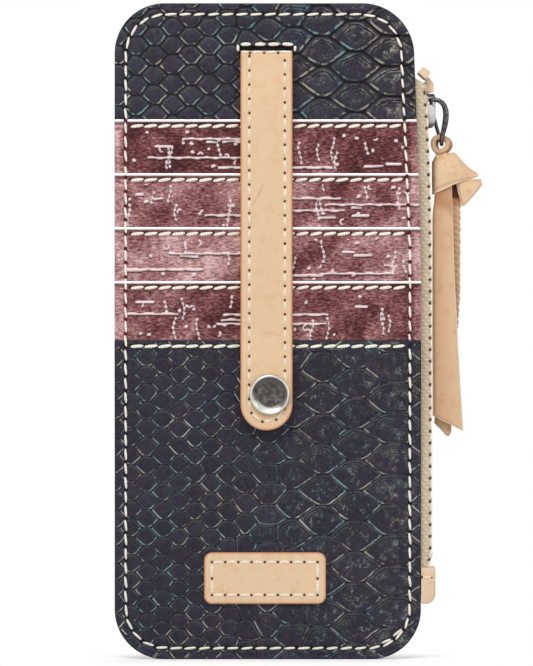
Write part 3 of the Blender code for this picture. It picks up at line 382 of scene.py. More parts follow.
def natural_leather(name, tone, shade, edge_tone):
    """Vegetable-tanned cowhide, undyed: matte, with pores, soft mottling and burnished orange edges."""
    made, tree, skin = new_material(name, Roughness=0.56, Specular_IOR_Level=0.35)
    where = add(tree, "TexCoord")
    cloud = add(tree, "TexNoise", {"Vector": where, "Scale": 260.0, "Detail": 6.0, "Roughness": 0.7})
    tint = add(tree, "ValToRGB", [cloud], [(0.30, shade), (0.50, tone), (0.72, tone)])
    # Pores lie about 0.4 mm apart.
    pores = add(tree, "TexVoronoi", {"Vector": where, "Scale": 2400.0, "Randomness": 1.0})
    pore_mask = add(tree, "ValToRGB", [pores], [(0.0, 0.0), (0.22, 1.0)])
    colour = add(tree, "Mix", [0.13, tint, pore_mask], blend_type="MULTIPLY")
    colour = tinted(tree, colour, "edge", edge_tone, 0.25, 0.85)
    # Scratches darken the hide to an orange tan, and the same tint is painted shade under and inside the pull's knot
    # and down its shaded sides.
    colour = tinted(tree, colour, "worn", "#a5693f")
    # Stitch holes are dark, and the same tint is painted shadow at the top of the pull's rear tail, under the knot.
    colour = tinted(tree, colour, "hole", "#4a1a0c", 0.46, 0.64)
    grain = add(tree, "TexNoise", {"Vector": where, "Scale": 1500.0, "Detail": 3.0})
    rough = add(tree, "MapRange", [grain, 0.3, 0.7, 0.48, 0.64])
    height = add(tree, "Math", [pore_mask, grain], operation="ADD")
    dress(tree, skin, colour, rough, height, 0.35, 0.12)
    return made


def embossed_leather(name, base, deep, groove_to, line_power, line_to, crease_power):
    """Cowhide pressed with snake scales and rubbed with pearl pigment: satin navy black, light on the ridges.

    groove, tone, lower, size, rise and dusty say where a point lies in its scale: see scale_field and panel.
    """
    made, tree, skin = new_material(name, Roughness=0.42, Specular_IOR_Level=0.22)
    where = add(tree, "TexCoord")
    groove, tone, lower, size, rise, dusty = [
        add(tree, "Attribute", attribute_name=mark) for mark in ("groove", "tone", "lower", "size", "rise", "dusty")]
    fleck = add(tree, "TexNoise", {"Vector": where, "Scale": 900.0, "Detail": 4.0, "Roughness": 0.7})
    gaps = add(tree, "TexNoise", {"Vector": where, "Scale": 380.0, "Detail": 3.0, "Roughness": 0.6})
    patch = add(tree, "TexNoise", {"Vector": where, "Scale": 55.0, "Detail": 2.0})
    plain = add(tree, "Mix", [tone, base, "#2d2a37"])
    # Pigment lies thicker and thinner over the grain.
    cloudy = add(tree, "MapRange", [fleck, 0.32, 0.68, 0.55, 1.5])
    colour = add(tree, "Mix", [1.0, plain, cloudy], blend_type="MULTIPLY", clamp_result=False)
    # The grooves between the scales fall to the deep colour, as painted shade.
    dark = add(tree, "MapRange", [groove, groove_to * 0.35, groove_to, 1.0, 0.0])
    colour = add(tree, "Mix", [dark, colour, deep])

    # Pigment rubbed off on the ridge beside each groove, 0.3 to 0.7 mm from it, in broken strokes.
    outer = add(tree, "MapRange", [groove, groove_to * 0.7, groove_to * 1.2, 0.0, 1.0])
    inner = add(tree, "MapRange", [groove, line_to * 0.72, line_to, 1.0, 0.0])
    ridge = add(tree, "Math", [outer, inner], operation="MULTIPLY")
    low_side = add(tree, "Math", [ridge, lower], operation="MULTIPLY")
    breaks = add(tree, "MapRange", [gaps, 0.44, 0.56, 0.06, 1.15])
    strokes = add(tree, "Math", [low_side, breaks], operation="MULTIPLY")
    strokes = add(tree, "Math", [strokes, line_power], operation="MULTIPLY", use_clamp=True)
    spread = add(tree, "ValToRGB", [patch], [(0.36, "#9aa1a5"), (0.43, "#a8a28a"), (0.49, "#8f979b"),
                                             (0.56, "#6f9b9d"), (0.64, "#bcbbb0")])
    # The broad scales by the zip hold more pigment, of a dusty khaki.
    khaki = add(tree, "Math", [dusty, 0.8], operation="MULTIPLY")
    hue = add(tree, "Mix", [khaki, spread, "#a69f8c"])
    colour = add(tree, "Mix", [strokes, colour, hue])

    # The larger scales are creased in arcs along their upper border, about 0.8 mm apart: the troughs painted shade,
    # and the crests a painted highlight in the pigment's hue.
    folds = add(tree, "TexNoise", {"Vector": where, "Scale": 420.0, "Detail": 4.0, "Roughness": 0.65})
    turn = add(tree, "Math", [groove, 10.5], operation="MULTIPLY")
    phase = add(tree, "Math", [folds, 15.0, turn], operation="MULTIPLY_ADD")
    crests = add(tree, "Math", [phase], operation="SINE")
    upper_part = add(tree, "MapRange", [rise, 0.45, 0.62])
    inner_part = add(tree, "MapRange", [groove, 0.45, 0.7])
    middle_out = add(tree, "MapRange", [groove, 0.9, 1.9, 1.0, 0.15])
    creases = add(tree, "Math", [upper_part, inner_part], operation="MULTIPLY")
    creases = add(tree, "Math", [creases, middle_out], operation="MULTIPLY")
    creases = add(tree, "Math", [creases, size], operation="MULTIPLY")
    trough = add(tree, "MapRange", [crests, -1.0, 0.0, 0.95, 0.0])
    troughs = add(tree, "Math", [trough, creases], operation="MULTIPLY")
    colour = add(tree, "Mix", [troughs, colour, "#0e0c12"])
    crest_line = add(tree, "MapRange", [crests, 0.1, 1.0, 0.0, crease_power])
    flecked = add(tree, "MapRange", [gaps, 0.42, 0.60])
    crest_flecks = add(tree, "Math", [crest_line, flecked], operation="MULTIPLY")
    crest_tint = add(tree, "Math", [crest_flecks, creases], operation="MULTIPLY", use_clamp=True)
    colour = add(tree, "Mix", [crest_tint, colour, hue])

    # Crumbs of pigment inside them, and a powder of it where the hide is dusty.
    crumbs = add(tree, "TexNoise", {"Vector": where, "Scale": 1500.0, "Detail": 2.0, "Roughness": 0.6})
    crumb = add(tree, "MapRange", [crumbs, 0.50, 0.66])
    clump = add(tree, "MapRange", [gaps, 0.48, 0.62])
    heart = add(tree, "MapRange", [groove, 0.9, 2.2, 0.0, 0.62])
    scattered = add(tree, "Math", [crumb, clump], operation="MULTIPLY")
    scattered = add(tree, "Math", [scattered, heart], operation="MULTIPLY")
    scattered = add(tree, "Math", [scattered, size], operation="MULTIPLY", use_clamp=True)
    powdered = add(tree, "Math", [clump, heart], operation="MULTIPLY")
    powdered = add(tree, "Math", [powdered, dusty], operation="MULTIPLY")
    sprinkled = add(tree, "Math", [powdered, 0.30, scattered], operation="MULTIPLY_ADD", use_clamp=True)
    colour = add(tree, "Mix", [sprinkled, colour, hue])
    colour = tinted(tree, colour, "edge", "#1b1a1e", 0.5, 0.9, 0.85)
    # Stitch holes are near black, and the same tint is painted shadow along the seam's line and painted shade inside
    # the strap's slit.
    colour = tinted(tree, colour, "hole", "#050406", 0.15, 0.48)

    # Grain of about 0.5 mm, and the creases of the larger scales.
    rough = add(tree, "MapRange", [fleck, 0.3, 0.7, 0.34, 0.52])
    grain = add(tree, "TexVoronoi", {"Vector": where, "Scale": 1900.0}, feature="DISTANCE_TO_EDGE")
    relief = add(tree, "MapRange", [groove, 0.0, groove_to * 1.3, 0.0, 1.0])
    height = add(tree, "Math", [grain, 0.5, relief], operation="MULTIPLY_ADD")
    crest_height = add(tree, "Math", [crests, creases], operation="MULTIPLY")
    height = add(tree, "Math", [crest_height, 0.9, height], operation="MULTIPLY_ADD")
    dress(tree, skin, colour, rough, height, 0.6, 0.22)
    return made


def metallic_leather(name):
    """Leather with a pressed metallic rose foil: sandy grain, worn from wine red to pink, raised silver marks."""
    made, tree, skin = new_material(name, Roughness=0.36, Metallic=0.5)
    where = add(tree, "TexCoord")
    # Ripples of 0.5 mm, about three times as long across as they are high.
    stretch = add(tree, "Mapping", {"Vector": where, "Scale": (720.0, 720.0, 2100.0)})
    sand = add(tree, "TexNoise",
               {"Vector": stretch, "Scale": 1.0, "Detail": 3.0, "Roughness": 0.6, "Distortion": 0.5})
    patch = add(tree, "TexNoise", {"Vector": where, "Scale": 120.0, "Detail": 4.0, "Distortion": 0.6})
    tone = add(tree, "Attribute", attribute_name="tone")
    grains = add(tree, "MapRange", [sand, 0.32, 0.68, 0.0, 0.56])
    clouds = add(tree, "MapRange", [patch, 0.3, 0.7, -0.25, 0.14])
    body = add(tree, "Math", [tone, 0.50, grains], operation="MULTIPLY_ADD")
    both = add(tree, "Math", [body, clouds], operation="ADD")
    colour = add(tree, "ValToRGB", [both], [(0.0, "#2a0709"), (0.28, "#5b2729"), (0.48, "#865255"),
                                            (0.70, "#af8081"), (1.0, "#e0bcb9")])
    colour = tinted(tree, colour, "raised", "#ead8d6", 0.15, 0.60, 0.95)
    # A painted highlight along each folded top, and painted shadow beside the stitching and under the raised marks.
    colour = tinted(tree, colour, "fold", "#f7e9e8")
    colour = tinted(tree, colour, "under", "#43181a")
    colour = tinted(tree, colour, "hole", "#4a1012", 0.22, 0.46)
    rough = add(tree, "MapRange", [sand, 0.3, 0.7, 0.28, 0.46])
    dress(tree, skin, colour, rough, sand, 0.5, 0.10)
    return made


def sewing_thread(name, tone, shade, fade=0.0):
    """Waxed polyester thread of about 0.9 mm, twisted from three strands, which shows as slanted ribs."""
    made, tree, skin = new_material(name, Roughness=0.6, Sheen_Weight=0.25)
    along = add(tree, "Attribute", attribute_name="along")
    around = add(tree, "Attribute", attribute_name="around")
    turn = add(tree, "Math", [along, 5.0, around], operation="MULTIPLY_ADD")
    wave = add(tree, "Math", [turn, 6.2832], operation="MULTIPLY")
    rib = add(tree, "Math", [wave], operation="SINE")
    colour = add(tree, "Mix", [add(tree, "MapRange", [rib, -1.0, 0.4]), shade, tone])
    # Each stitch turns to the shade colour towards its far end.
    colour = add(tree, "Mix", [add(tree, "MapRange", [along, -0.2, 0.25, 0.0, fade]), colour, shade])
    dress(tree, skin, colour, None, rib, 0.5, 0.1)
    return made


def woven_cloth(name, tone, shade, pitch):
    """Plain-woven cotton canvas: threads of about the given pitch over and under, matte, with slubs."""
    made, tree, skin = new_material(name, Roughness=0.86, Sheen_Weight=0.2)
    where = add(tree, "TexCoord")
    waves = 3.1416 / (pitch * MM) / 20.0
    weft, warp = [
        add(tree, "TexWave", {"Vector": where, "Scale": waves, "Distortion": 0.6, "Detail": 1.0,
                              "Detail Scale": 2.0}, bands_direction=way) for way in ("Z", "DIAGONAL")]
    weave = add(tree, "Math", [weft, warp], operation="MULTIPLY")
    slub = add(tree, "TexNoise", {"Vector": where, "Scale": 350.0, "Detail": 4.0})
    mixed = add(tree, "Math", [slub, 0.9, weave], operation="MULTIPLY_ADD")
    colour = add(tree, "Mix", [add(tree, "MapRange", [mixed, 0.35, 1.1]), shade, tone])
    colour = tinted(tree, colour, "hole", "#45281a", 0.36, 0.56)
    dress(tree, skin, colour, None, mixed, 0.35, 0.12)
    return made


def antique_nickel(name, bright, dark, roughness):
    """Nickel plate over brass, blackened and then relieved: satin, darker in patches, with fine scratches."""
    made, tree, skin = new_material(name, Metallic=1.0, Roughness=roughness)
    where = add(tree, "TexCoord")
    patina = add(tree, "TexNoise", {"Vector": where, "Scale": 700.0, "Detail": 5.0, "Roughness": 0.65})
    colour = add(tree, "ValToRGB", [patina], [(0.35, dark), (0.62, bright)])
    stretch = add(tree, "Mapping", {"Vector": where, "Scale": (500.0, 500.0, 6000.0)})
    scratch = add(tree, "TexNoise", {"Vector": stretch, "Scale": 1.0, "Detail": 2.0})
    rough = add(tree, "MapRange", [scratch, 0.3, 0.7, roughness - 0.07, roughness + 0.10])
    dress(tree, skin, colour, rough, scratch, 0.15, 0.05)
    return made


def snap_finish(name):
    """Blackened nickel in the dish of the cap and bright, polished nickel on its raised rim, with a painted reflection
    on the dish's sloping ring.
    """
    made, tree, skin = new_material(name, Metallic=1.0, Roughness=0.22)
    where = add(tree, "TexCoord")
    centred = add(tree, "Mapping", {"Vector": where, "Location": (-SNAP[0] * MM, 0, -SNAP[1] * MM),
                                    "Scale": (1.0, 0.0, 1.0)})
    radius = add(tree, "VectorMath", [centred], output="Value", operation="LENGTH")
    heading = add(tree, "VectorMath", [centred], operation="NORMALIZE")
    patina = add(tree, "TexNoise", {"Vector": where, "Scale": 650.0, "Detail": 4.0, "Roughness": 0.65})
    dish = add(tree, "ValToRGB", [patina], [(0.36, "#4d4644"), (0.50, "#5f5956"), (0.66, "#837d79")])
    # The sloping ring of the dish carries a painted reflection: dark at the top and right, and bright below.
    parts = add(tree, "SeparateXYZ", [heading]).node.outputs
    turned = add(tree, "Math", [parts["X"], 0.22, parts["Z"]], operation="MULTIPLY_ADD")
    painted_ring_reflection = add(tree, "ValToRGB", [add(tree, "MapRange", [turned, -1.0, 1.0])],
                    [(0.0, "#c9cbc1"), (0.11, "#b5b7ac"), (0.25, "#6f6b67"), (0.55, "#4b4543"), (0.8, "#655f5c")])
    ring = add(tree, "MapRange", [radius, 3.6 * MM, 4.2 * MM])
    colour = add(tree, "Mix", [ring, dish, painted_ring_reflection])
    rim = add(tree, "MapRange", [radius, 5.35 * MM, 5.6 * MM])
    colour = add(tree, "Mix", [rim, colour, "#d2cfca"])
    dress(tree, skin, colour, add(tree, "MapRange", [patina, 0.0, 1.0, 0.20, 0.30]))
    return made


def slider_finish(name):
    """Die-cast zinc, nickel plated: a painted highlight across its middle and painted shade towards both ends, by
    height.
    """
    made, tree, skin = new_material(name, Metallic=1.0, Roughness=0.3)
    where = add(tree, "TexCoord")
    height = add(tree, "SeparateXYZ", [where], output="Z")
    share = add(tree, "MapRange", [height, 164.5 * MM, 175.8 * MM])
    # Painted highlight up the middle of the slider, and painted shade at its top and bottom.
    worn = add(tree, "ValToRGB", [share], [(0.0, "#4a4745"), (0.12, "#6b6763"), (0.24, "#d8d5d0"),
                                           (0.80, "#e8e5e0"), (0.93, "#4a4745")])
    patina = add(tree, "TexNoise", {"Vector": where, "Scale": 900.0, "Detail": 4.0})
    rubbed = add(tree, "MapRange", [patina, 0.3, 0.7, 0.0, 0.35])
    colour = add(tree, "Mix", [rubbed, worn, "#55514e"])
    dress(tree, skin, colour, add(tree, "MapRange", [patina, 0.0, 1.0, 0.22, 0.42]))
    return made


upper_snake = embossed_leather("embossed_cowhide_deep", "#24202d", "#040306", 0.38, 1.2, 0.74, 0.72)
lower_snake = embossed_leather("embossed_cowhide_flat", "#24212d", "#0e0c12", 0.26, 0.95, 0.60, 0.30)
rose_foil = metallic_leather("rose_foil_leather")
strap_hide = natural_leather("natural_cowhide_strap", "#e1c09b", "#d9b48b", "#cd8a5e")
patch_hide = natural_leather("natural_cowhide_patch", "#e7c8a4", "#dfbb92", "#cf8f66")
tab_hide = natural_leather("natural_cowhide_tab", "#e6c9ab", "#ddbb96", "#cc9068")
pull_hide = natural_leather("natural_cowhide_pull", "#e4c29e", "#d6ab82", "#f4dcc0")
board = natural_leather("backing_board", "#5a463a", "#4a382e", "#3a2b22")
cream_thread = sewing_thread("cream_thread", "#fffdf2", "#ebe2c8")
pale_thread = sewing_thread("pale_thread", "#fffaf0", "#e2c49f", 0.6)
patch_thread = sewing_thread("patch_thread", "#fff6e6", "#ead5b6")
canvas = woven_cloth("cotton_canvas_tape", "#ddccb2", "#c2b094", 0.55)
lining_cloth = woven_cloth("cotton_twill_lining", "#bfae86", "#93835f", 0.45)
nickel = antique_nickel("antique_nickel", "#a09c96", "#4a4744", 0.34)
dark_nickel = antique_nickel("blackened_nickel", "#6e6c6c", "#2e2d2e", 0.30)
cap_nickel = snap_finish("snap_cap_nickel")
slider_zinc = slider_finish("slider_zinc")


# --- Snake scales

# The column of scales that the others are set beside, by its x.
FIRST_COLUMN = 16.5


def scale_columns(small):
    """Columns of scales as x and height, from small on the left to broad belly scales on the right."""
    step = 0.935 * small
    return [(-12.5 - step * back, small) for back in range(7, -1, -1)] + [
        (-7.2, 1.12 * small), (-0.9, 6.9), (7.0, 8.2), (FIRST_COLUMN, 9.5), (27.1, 9.5), (38.1, 9.5), (55.0, 9.5)]


def scale_shape(x, small):
    """Height of the scales at x, and how much the distances across them are shortened."""
    columns = scale_columns(small)
    tall = np.interp(x, [c[0] for c in columns], [c[1] for c in columns])
    return tall, np.interp(x, (-12.0, 0.0, 16.0, 36.0, 46.0, 56.0), (0.74, 0.70, 0.60, 0.57, 0.44, 0.26))


def next_column(heights, tall, low, high, chance):
    """Heights of the scales in the column beside one: each sits between two, and more go in where they shrink."""
    middle = (heights[1:] + heights[:-1]) / 2
    while middle[0] > low - 1.5 * tall:
        middle = np.insert(middle, 0, middle[0] - tall)
    while middle[-1] < high + 1.5 * tall:
        middle = np.append(middle, middle[-1] + tall)
    wanted = int(round((middle[-1] - middle[0]) / tall)) + 1
    while len(middle) < wanted:
        gaps = np.diff(middle) * [chance.uniform(1.0, 1.3) for _ in middle[1:]]
        widest = int(np.argmax(gaps))
        middle = np.insert(middle, widest + 1, (middle[widest] + middle[widest + 1]) / 2)
        for _ in range(5):
            middle[1:-1] += 0.5 * ((middle[2:] + middle[:-2]) / 2 - middle[1:-1])
    return middle


def scale_seeds(low, high, chance, small):
    """Centres of the pressed scales as x, z and tone, settled into even cells where their size changes."""
    columns = scale_columns(small)
    first = [c[0] for c in columns].index(FIRST_COLUMN)
    heights = {first: np.arange(low - 14.0, high + 16.0, columns[first][1])}
    for index in list(range(first - 1, -1, -1)) + list(range(first + 1, len(columns))):
        beside = heights[index + 1 if index < first else index - 1]
        heights[index] = next_column(beside, columns[index][1], low, high, chance)
    seeds = []
    for index, (x, tall) in enumerate(columns):
        drift = 0.035 * tall
        seeds += [(x + chance.uniform(-drift, drift), z + chance.uniform(-drift, drift), chance.random())
                  for z in heights[index]]
    seeds = np.array(seeds)
    # Each seed on the left moves to the middle of its own cell, a few times over.
    free = np.nonzero((seeds[:, 0] > -14.5) & (seeds[:, 0] < 12.0))[0]
    x, z = [axis.ravel() for axis in np.meshgrid(np.arange(-20.0, 20.0, 0.7), np.arange(low - 7.0, high + 7.0, 0.7))]
    tall, narrow = scale_shape(x, small)
    weight = (narrow / tall**2) ** 2
    for _ in range(8):
        away = ((x[:, None] - seeds[None, :, 0]) * narrow[:, None]) ** 2 + (z[:, None] - seeds[None, :, 1]) ** 2
        owner = np.argmin(away, axis=1)
        mass = np.bincount(owner, weight, len(seeds))
        inner = free[(mass[free] > 0) & (seeds[free, 1] > low - 4) & (seeds[free, 1] < high + 4)]
        for axis, place in ((0, x), (1, z)):
            middle = np.bincount(owner, weight * place, len(seeds)) / np.maximum(mass, 1e-12)
            seeds[inner, axis] = middle[inner]
    return seeds


def scale_field(x, z, seeds, small):
    """Where each point lies in its scale.

    groove is the distance to the scale's border, tone a number for each scale, lower how far the border
    beside it faces down and aslant, size how broad the scale is, and rise how high in it the point is.
    """
    found = {key: np.zeros(len(x)) for key in ("groove", "tone", "lower", "size", "rise")}
    for start in range(0, len(x), 6000):
        part = slice(start, start + 6000)
        tall, narrow = scale_shape(x[part], small)
        dx = (x[part, None] - seeds[None, :, 0]) * narrow[:, None]
        dz = z[part, None] - seeds[None, :, 1]
        reach = dx**2 + dz**2
        rows = np.arange(len(tall))
        order = np.argpartition(reach, (1, 2, 3), axis=1)[:, :4]
        order = np.take_along_axis(order, np.argsort(np.take_along_axis(reach, order, 1), axis=1), 1)
        first, second = order[:, 0], order[:, 1]
        # The distances to the nearest three borders run together, which rounds the corners.
        # The tips at the left and right of a scale stay sharp.
        tip = ease((np.abs(dx[rows, first]) - 0.26 * tall) / (0.2 * tall))
        blend = (0.024 * tall + 0.032 * np.maximum(tall - 6.0, 0)) * (1 - 0.7 * tip)
        gone = np.zeros(len(tall))
        for other in order[:, 1:].T:
            apart = np.hypot((seeds[other, 0] - seeds[first, 0]) * narrow, seeds[other, 1] - seeds[first, 1])
            border = (reach[rows, other] - reach[rows, first]) / (2 * apart)
            gone = gone + np.exp(-border / blend)
        across = seeds[second, 0] - seeds[first, 0]
        up = seeds[second, 1] - seeds[first, 1]
        aslant = 2 * np.abs(across * up) / (across**2 + up**2)
        found["groove"][part] = np.maximum(-blend * np.log(gone) + 0.4 * blend, 0)
        found["tone"][part] = seeds[first, 2]
        found["lower"][part] = np.where(up < 0, 0.2 + 0.8 * ease((aslant - 0.3) / 0.25), 0.07)
        found["size"][part] = np.clip((tall - 5.2) / 4.0, 0, 1)
        found["rise"][part] = dz[rows, first] / tall + 0.5
    return found


def wobble(x, z, phase):
    """A slow waver of pressed lines, so that none is drawn with a ruler."""
    return 0.22 * np.sin(x * 0.31 + phase) * np.sin(z * 0.27 + 2 * phase) + 0.07 * np.sin(z * 1.9 + x * 1.3 + phase)


# --- Seams and stitches

def along(path, count=None, pitch=None, closed=False):
    """Points spread evenly along a line of points, a whole number of times at about a pitch."""
    path = np.array(path, float)
    length = np.concatenate([[0], np.cumsum(np.hypot(*np.diff(path, axis=0).T))])
    count = count or int(round(length[-1] / pitch))
    at = np.linspace(0, length[-1], count + 1)[:-1 if closed else None]
    return np.stack([np.interp(at, length, path[:, i]) for i in (0, 1)], 1)


def seam_points(inset, pitch):
    """Holes of the seam round the case, evenly spaced, going clockwise from the top right."""
    left, right = -HALF_WIDTH + inset, HALF_WIDTH - inset
    radius = CORNER - inset
    path = []
    corners = ((right - NARROWING - radius, HEIGHT - inset - radius, 90), (right - radius, inset + radius, 0),
               (left + radius, inset + radius, -90), (left + radius, HEIGHT - inset - radius, 180))
    for x, z, start in corners:
        for step in range(25):
            angle = math.radians(start - 90 * step / 24)
            path.append((x + radius * math.cos(angle), z + radius * math.sin(angle)))
        if start == 90:
            path.append((right, NARROWING_Z))
    return along(path + path[:1], pitch=pitch, closed=True)


def line_points(x0, z0, x1, z1, pitch):
    count = max(int(round(math.hypot(x1 - x0, z1 - z0) / pitch)), 1)
    return along([(x0, z0), (x1, z1)], count)


def stitch_shape():
    """One stitch as a rounded thread of unit length, its ends dipping into their holes."""
    bm = bmesh.new()
    bmesh.ops.create_uvsphere(bm, u_segments=8, v_segments=8, radius=0.5)
    length = bm.verts.layers.float.new("along")
    around = bm.verts.layers.float.new("around")
    for vert in bm.verts:
        t = 2 * vert.co.z
        vert[length] = vert.co.z
        vert[around] = math.atan2(vert.co.x, -vert.co.y) / (2 * math.pi)
        full = math.sqrt(max(1 - abs(t) ** 3.2, 0.0)) / math.sqrt(max(1 - t * t, 1e-9)) if abs(t) < 0.999 else 1.0
        vert.co.x *= full
        vert.co.y = vert.co.y * full + 0.32 * t * t
    shape = bpy.data.meshes.new("stitch_shape")
    bm.to_mesh(shape)
    bm.free()
    return shape


STITCH = stitch_shape()
# Holes further apart than this aren't joined by a stitch.
LONGEST_STITCH = 9.0


def sew(name, holes, face, width=1.0, share=0.80, slant=0.0, tall=0.8, closed=False, thread=cream_thread,
        body="case"):
    """Stitches from hole to hole, lying on the face, as threads that ride on the body."""
    bm = bmesh.new()
    bm.verts.layers.float.new("along")
    bm.verts.layers.float.new("around")
    pairs = list(zip(holes, list(holes[1:]) + ([holes[0]] if closed else [])))
    chance = random.Random(len(pairs))
    for (x0, z0), (x1, z1) in pairs:
        length = math.hypot(x1 - x0, z1 - z0)
        if length > LONGEST_STITCH:
            continue
        start = len(bm.verts)
        bm.from_mesh(STITCH)
        bm.verts.ensure_lookup_table()
        angle = math.atan2(x1 - x0, z1 - z0) + slant + chance.uniform(-0.05, 0.05)
        x, z = (x0 + x1) / 2, (z0 + z1) / 2
        y = float(face(np.array(z))) - 0.10 * tall
        tilt = math.atan2(float(face(np.array(z1)) - face(np.array(z0))), length)
        size = Matrix.Diagonal((width, width * tall, length * share * chance.uniform(0.95, 1.04), 1))
        turn = Matrix.Rotation(angle, 4, "Y")
        place = Matrix.Translation(Vector((x, y, z)))
        lean = Matrix.Rotation(tilt if z1 < z0 else -tilt, 4, "X")
        bmesh.ops.transform(bm, matrix=Matrix.Scale(MM, 4) @ place @ turn @ lean @ size, verts=bm.verts[start:])
    return write_mesh(name, bm, thread, body)


perimeter = seam_points(SEAM_INSET, SEAM_PITCH)


# --- Embossed panels

def panel(name, node, low, high, face, made_of, relief, deep, seed, small):
    """A snake-embossed panel: its scales, its rounded cut edge and the dimples of its seam."""
    upper = high == HEIGHT
    chance = random.Random(seed)
    mesh, share, z, w = sheet_mesh(name, spaced(0, WIDTH, 0.33) / WIDTH, spaced(low, high, 0.33))
    draw = corner_draw(z, 0, HEIGHT, CORNER)
    left, right = -HALF_WIDTH + draw, right_side(z) - draw
    x = left + (right - left) * share
    marks = scale_field(x + wobble(x, z, seed), z + 0.6 * wobble(z, x, seed + 1),
                        scale_seeds(low, high, chance, small), small)
    rim = rim_distance(x, z)
    edge = np.minimum(rim, z - low if upper else np.minimum(z - low, high - z))
    if upper:
        marks["groove"] = marks["groove"] / (1 + 0.45 * marks["size"])
        marks["size"] = marks["size"] * (1 + 0.35 * ease((x - 27.0) / 8.0))
    # Towards the zip the hide is dustier with pigment.
    marks["dusty"] = ease((x - 24.0) / 10.0) if upper else 0.45 * ease((x - 31.0) / 7.0)
    raised = relief * (ease(marks["groove"] / deep) - 0.55 + 0.5 * marks["size"] * (0.5 - marks["rise"]))
    # The seam draws the hide in at each hole, along its line, and in a crease beside the cut edge.
    hole = nearest(x, z, perimeter)
    seam = np.abs(rim - SEAM_INSET)
    dimple = 0.28 * close_to(hole, 0.7) + 0.16 * close_to(seam, 0.8) + 0.12 * close_to(rim - 1.35, 0.28)
    # Painted shadow along the seam's line goes in through the hole value.
    hole = np.minimum(hole, 1 - 0.33 * close_to(seam, 0.75))
    if upper:
        inside = np.minimum(np.minimum(x - SLIT[0], SLIT[1] - x), np.minimum(z - SLIT[2], SLIT[3] - z))
        # Inside the slit the hide is painted black, as painted shade in the opening.
        hole = np.where(inside > 0, 0.0, hole)
        dimple = dimple + 0.9 * ease(inside / 0.3 + 0.5)
    y = face(z) + np.where(w > 0.5, HIDE, rounded(edge, 0.4) - raised * ease(edge) + dimple)
    put(mesh, x, y, z)
    set_values(mesh, edge=edge, hole=hole, **marks)
    register(name, mesh, made_of, "case", (node,))


panel("upper_panel_leather", "upper_front_panel", 155.0, HEIGHT, panel_face, upper_snake, 0.46, 0.9, 3, 6.05)
panel("front_pocket_leather", "front_pocket", 0.0, FRONT_POCKET_TOP, front_pocket_face, lower_snake, 0.15, 0.55, 14,
      5.35)

# The back is one panel that follows the crown on both faces, with the columns of scales the other way round.
mesh, share, z, w = sheet_mesh("back_panel_leather", spaced(0, WIDTH, 0.68) / WIDTH, spaced(0, HEIGHT, 0.68), True)
draw = corner_draw(z, 0, HEIGHT, CORNER)
x = -HALF_WIDTH + draw + (right_side(z) + HALF_WIDTH - 2 * draw) * share
marks = scale_field(-x + wobble(x, z, 5), z + 0.6 * wobble(z, x, 6),
                    scale_seeds(0, HEIGHT, random.Random(5), 5.35), 5.35)
edge = rim_distance(x, z)
raised = 0.16 * ease(marks["groove"] / 0.7) - 0.09
outer = HIDE - rounded(edge, 0.4) + raised * ease(edge)
put(mesh, x, BACK_FLAT + CROWN * crown(x, z) + np.where(w > 0.5, 0.0, outer), z)
mesh.flip_normals()
set_values(mesh, edge=edge, hole=nearest(x, z, perimeter), **marks)
register("back_panel_leather", mesh, lower_snake, "case", ("back_panel",))


# --- Card pockets

def foil_marks(index):
    """Raised lines, hanging beads, hooks and dots pressed into the foil: a made-up scatter of like scale."""
    chance = random.Random(40 + index)
    marks = []

    def draw(points, radius, proud):
        marks.extend((*a, *b, radius, proud) for a, b in zip(points, points[1:]))

    for _ in range(4):
        x, z, long = chance.uniform(-46, 24), chance.uniform(2.0, 11.5), chance.uniform(12, 38)
        draw([(x + s, z + 0.12 * math.sin(1.1 * s + x)) for s in np.arange(0, long, 1.4)], 0.25, 1.0)
    for _ in range(5):
        x, z, long = chance.uniform(-46, 40), chance.uniform(1.5, 13.0), chance.uniform(2, 6)
        draw([(x, z), (x + long, z + chance.uniform(-0.2, 0.2))], 0.27, 1.0)
    for _ in range(12):
        x, z, long = chance.uniform(-46, 46), chance.uniform(6, 14), chance.uniform(2.5, 8)
        drip = [(x + 0.45 * math.sin(0.75 * s + x) + chance.uniform(-0.08, 0.08), z - s)
                for s in np.arange(0, long, 0.5)]
        draw(drip, 0.16, 0.55)
        for px, pz in drip[::3]:
            draw([(px, pz), (px + 0.12, pz - 0.3)], chance.uniform(0.22, 0.34), 0.9)
    for _ in range(5):
        x, z, bend = chance.uniform(-46, 46), chance.uniform(2, 13), chance.uniform(0.6, 0.9)
        start, turn = chance.uniform(0, 6.3), chance.uniform(1.6, 3.2)
        hook = [(x + bend * math.cos(start + a), z + bend * math.sin(start + a)) for a in np.linspace(0, turn, 6)]
        draw(hook, 0.22, 0.85)
    for _ in range(18):
        x, z = chance.uniform(-46, 46), chance.uniform(1, 14)
        draw([(x, z), (x + chance.uniform(-0.5, 0.5), z + 0.15)], chance.uniform(0.28, 0.42), 1.0)
    return marks


def mark_height(x, z, marks):
    """How high each point stands on marks, which are lines given as two ends, a radius and a height."""
    height = np.zeros(len(x))
    for x0, z0, x1, z1, radius, proud in marks:
        near = np.nonzero((x > min(x0, x1) - 1) & (x < max(x0, x1) + 1)
                          & (z > min(z0, z1) - 1) & (z < max(z0, z1) + 1))[0]
        if not len(near):
            continue
        run = np.array([x1 - x0, z1 - z0])
        px, pz = x[near] - x0, z[near] - z0
        t = np.clip((px * run[0] + pz * run[1]) / max(float(run @ run), 1e-9), 0, 1)
        away = np.hypot(px - t * run[0], pz - t * run[1])
        height[near] = np.maximum(height[near], proud * (1 - ease((away - radius * 0.6) / radius)))
    return height


# How light each pocket's foil is, and how much darker it is right of the strap.
ROW_TONES = (0.05, 0.67, 0.77, 0.33)
ROW_FALLS = (0.0, 0.14, 0.24, 0.04)
# The pockets' seam lies this far below their folded tops.
ROW_DROP = 2.05

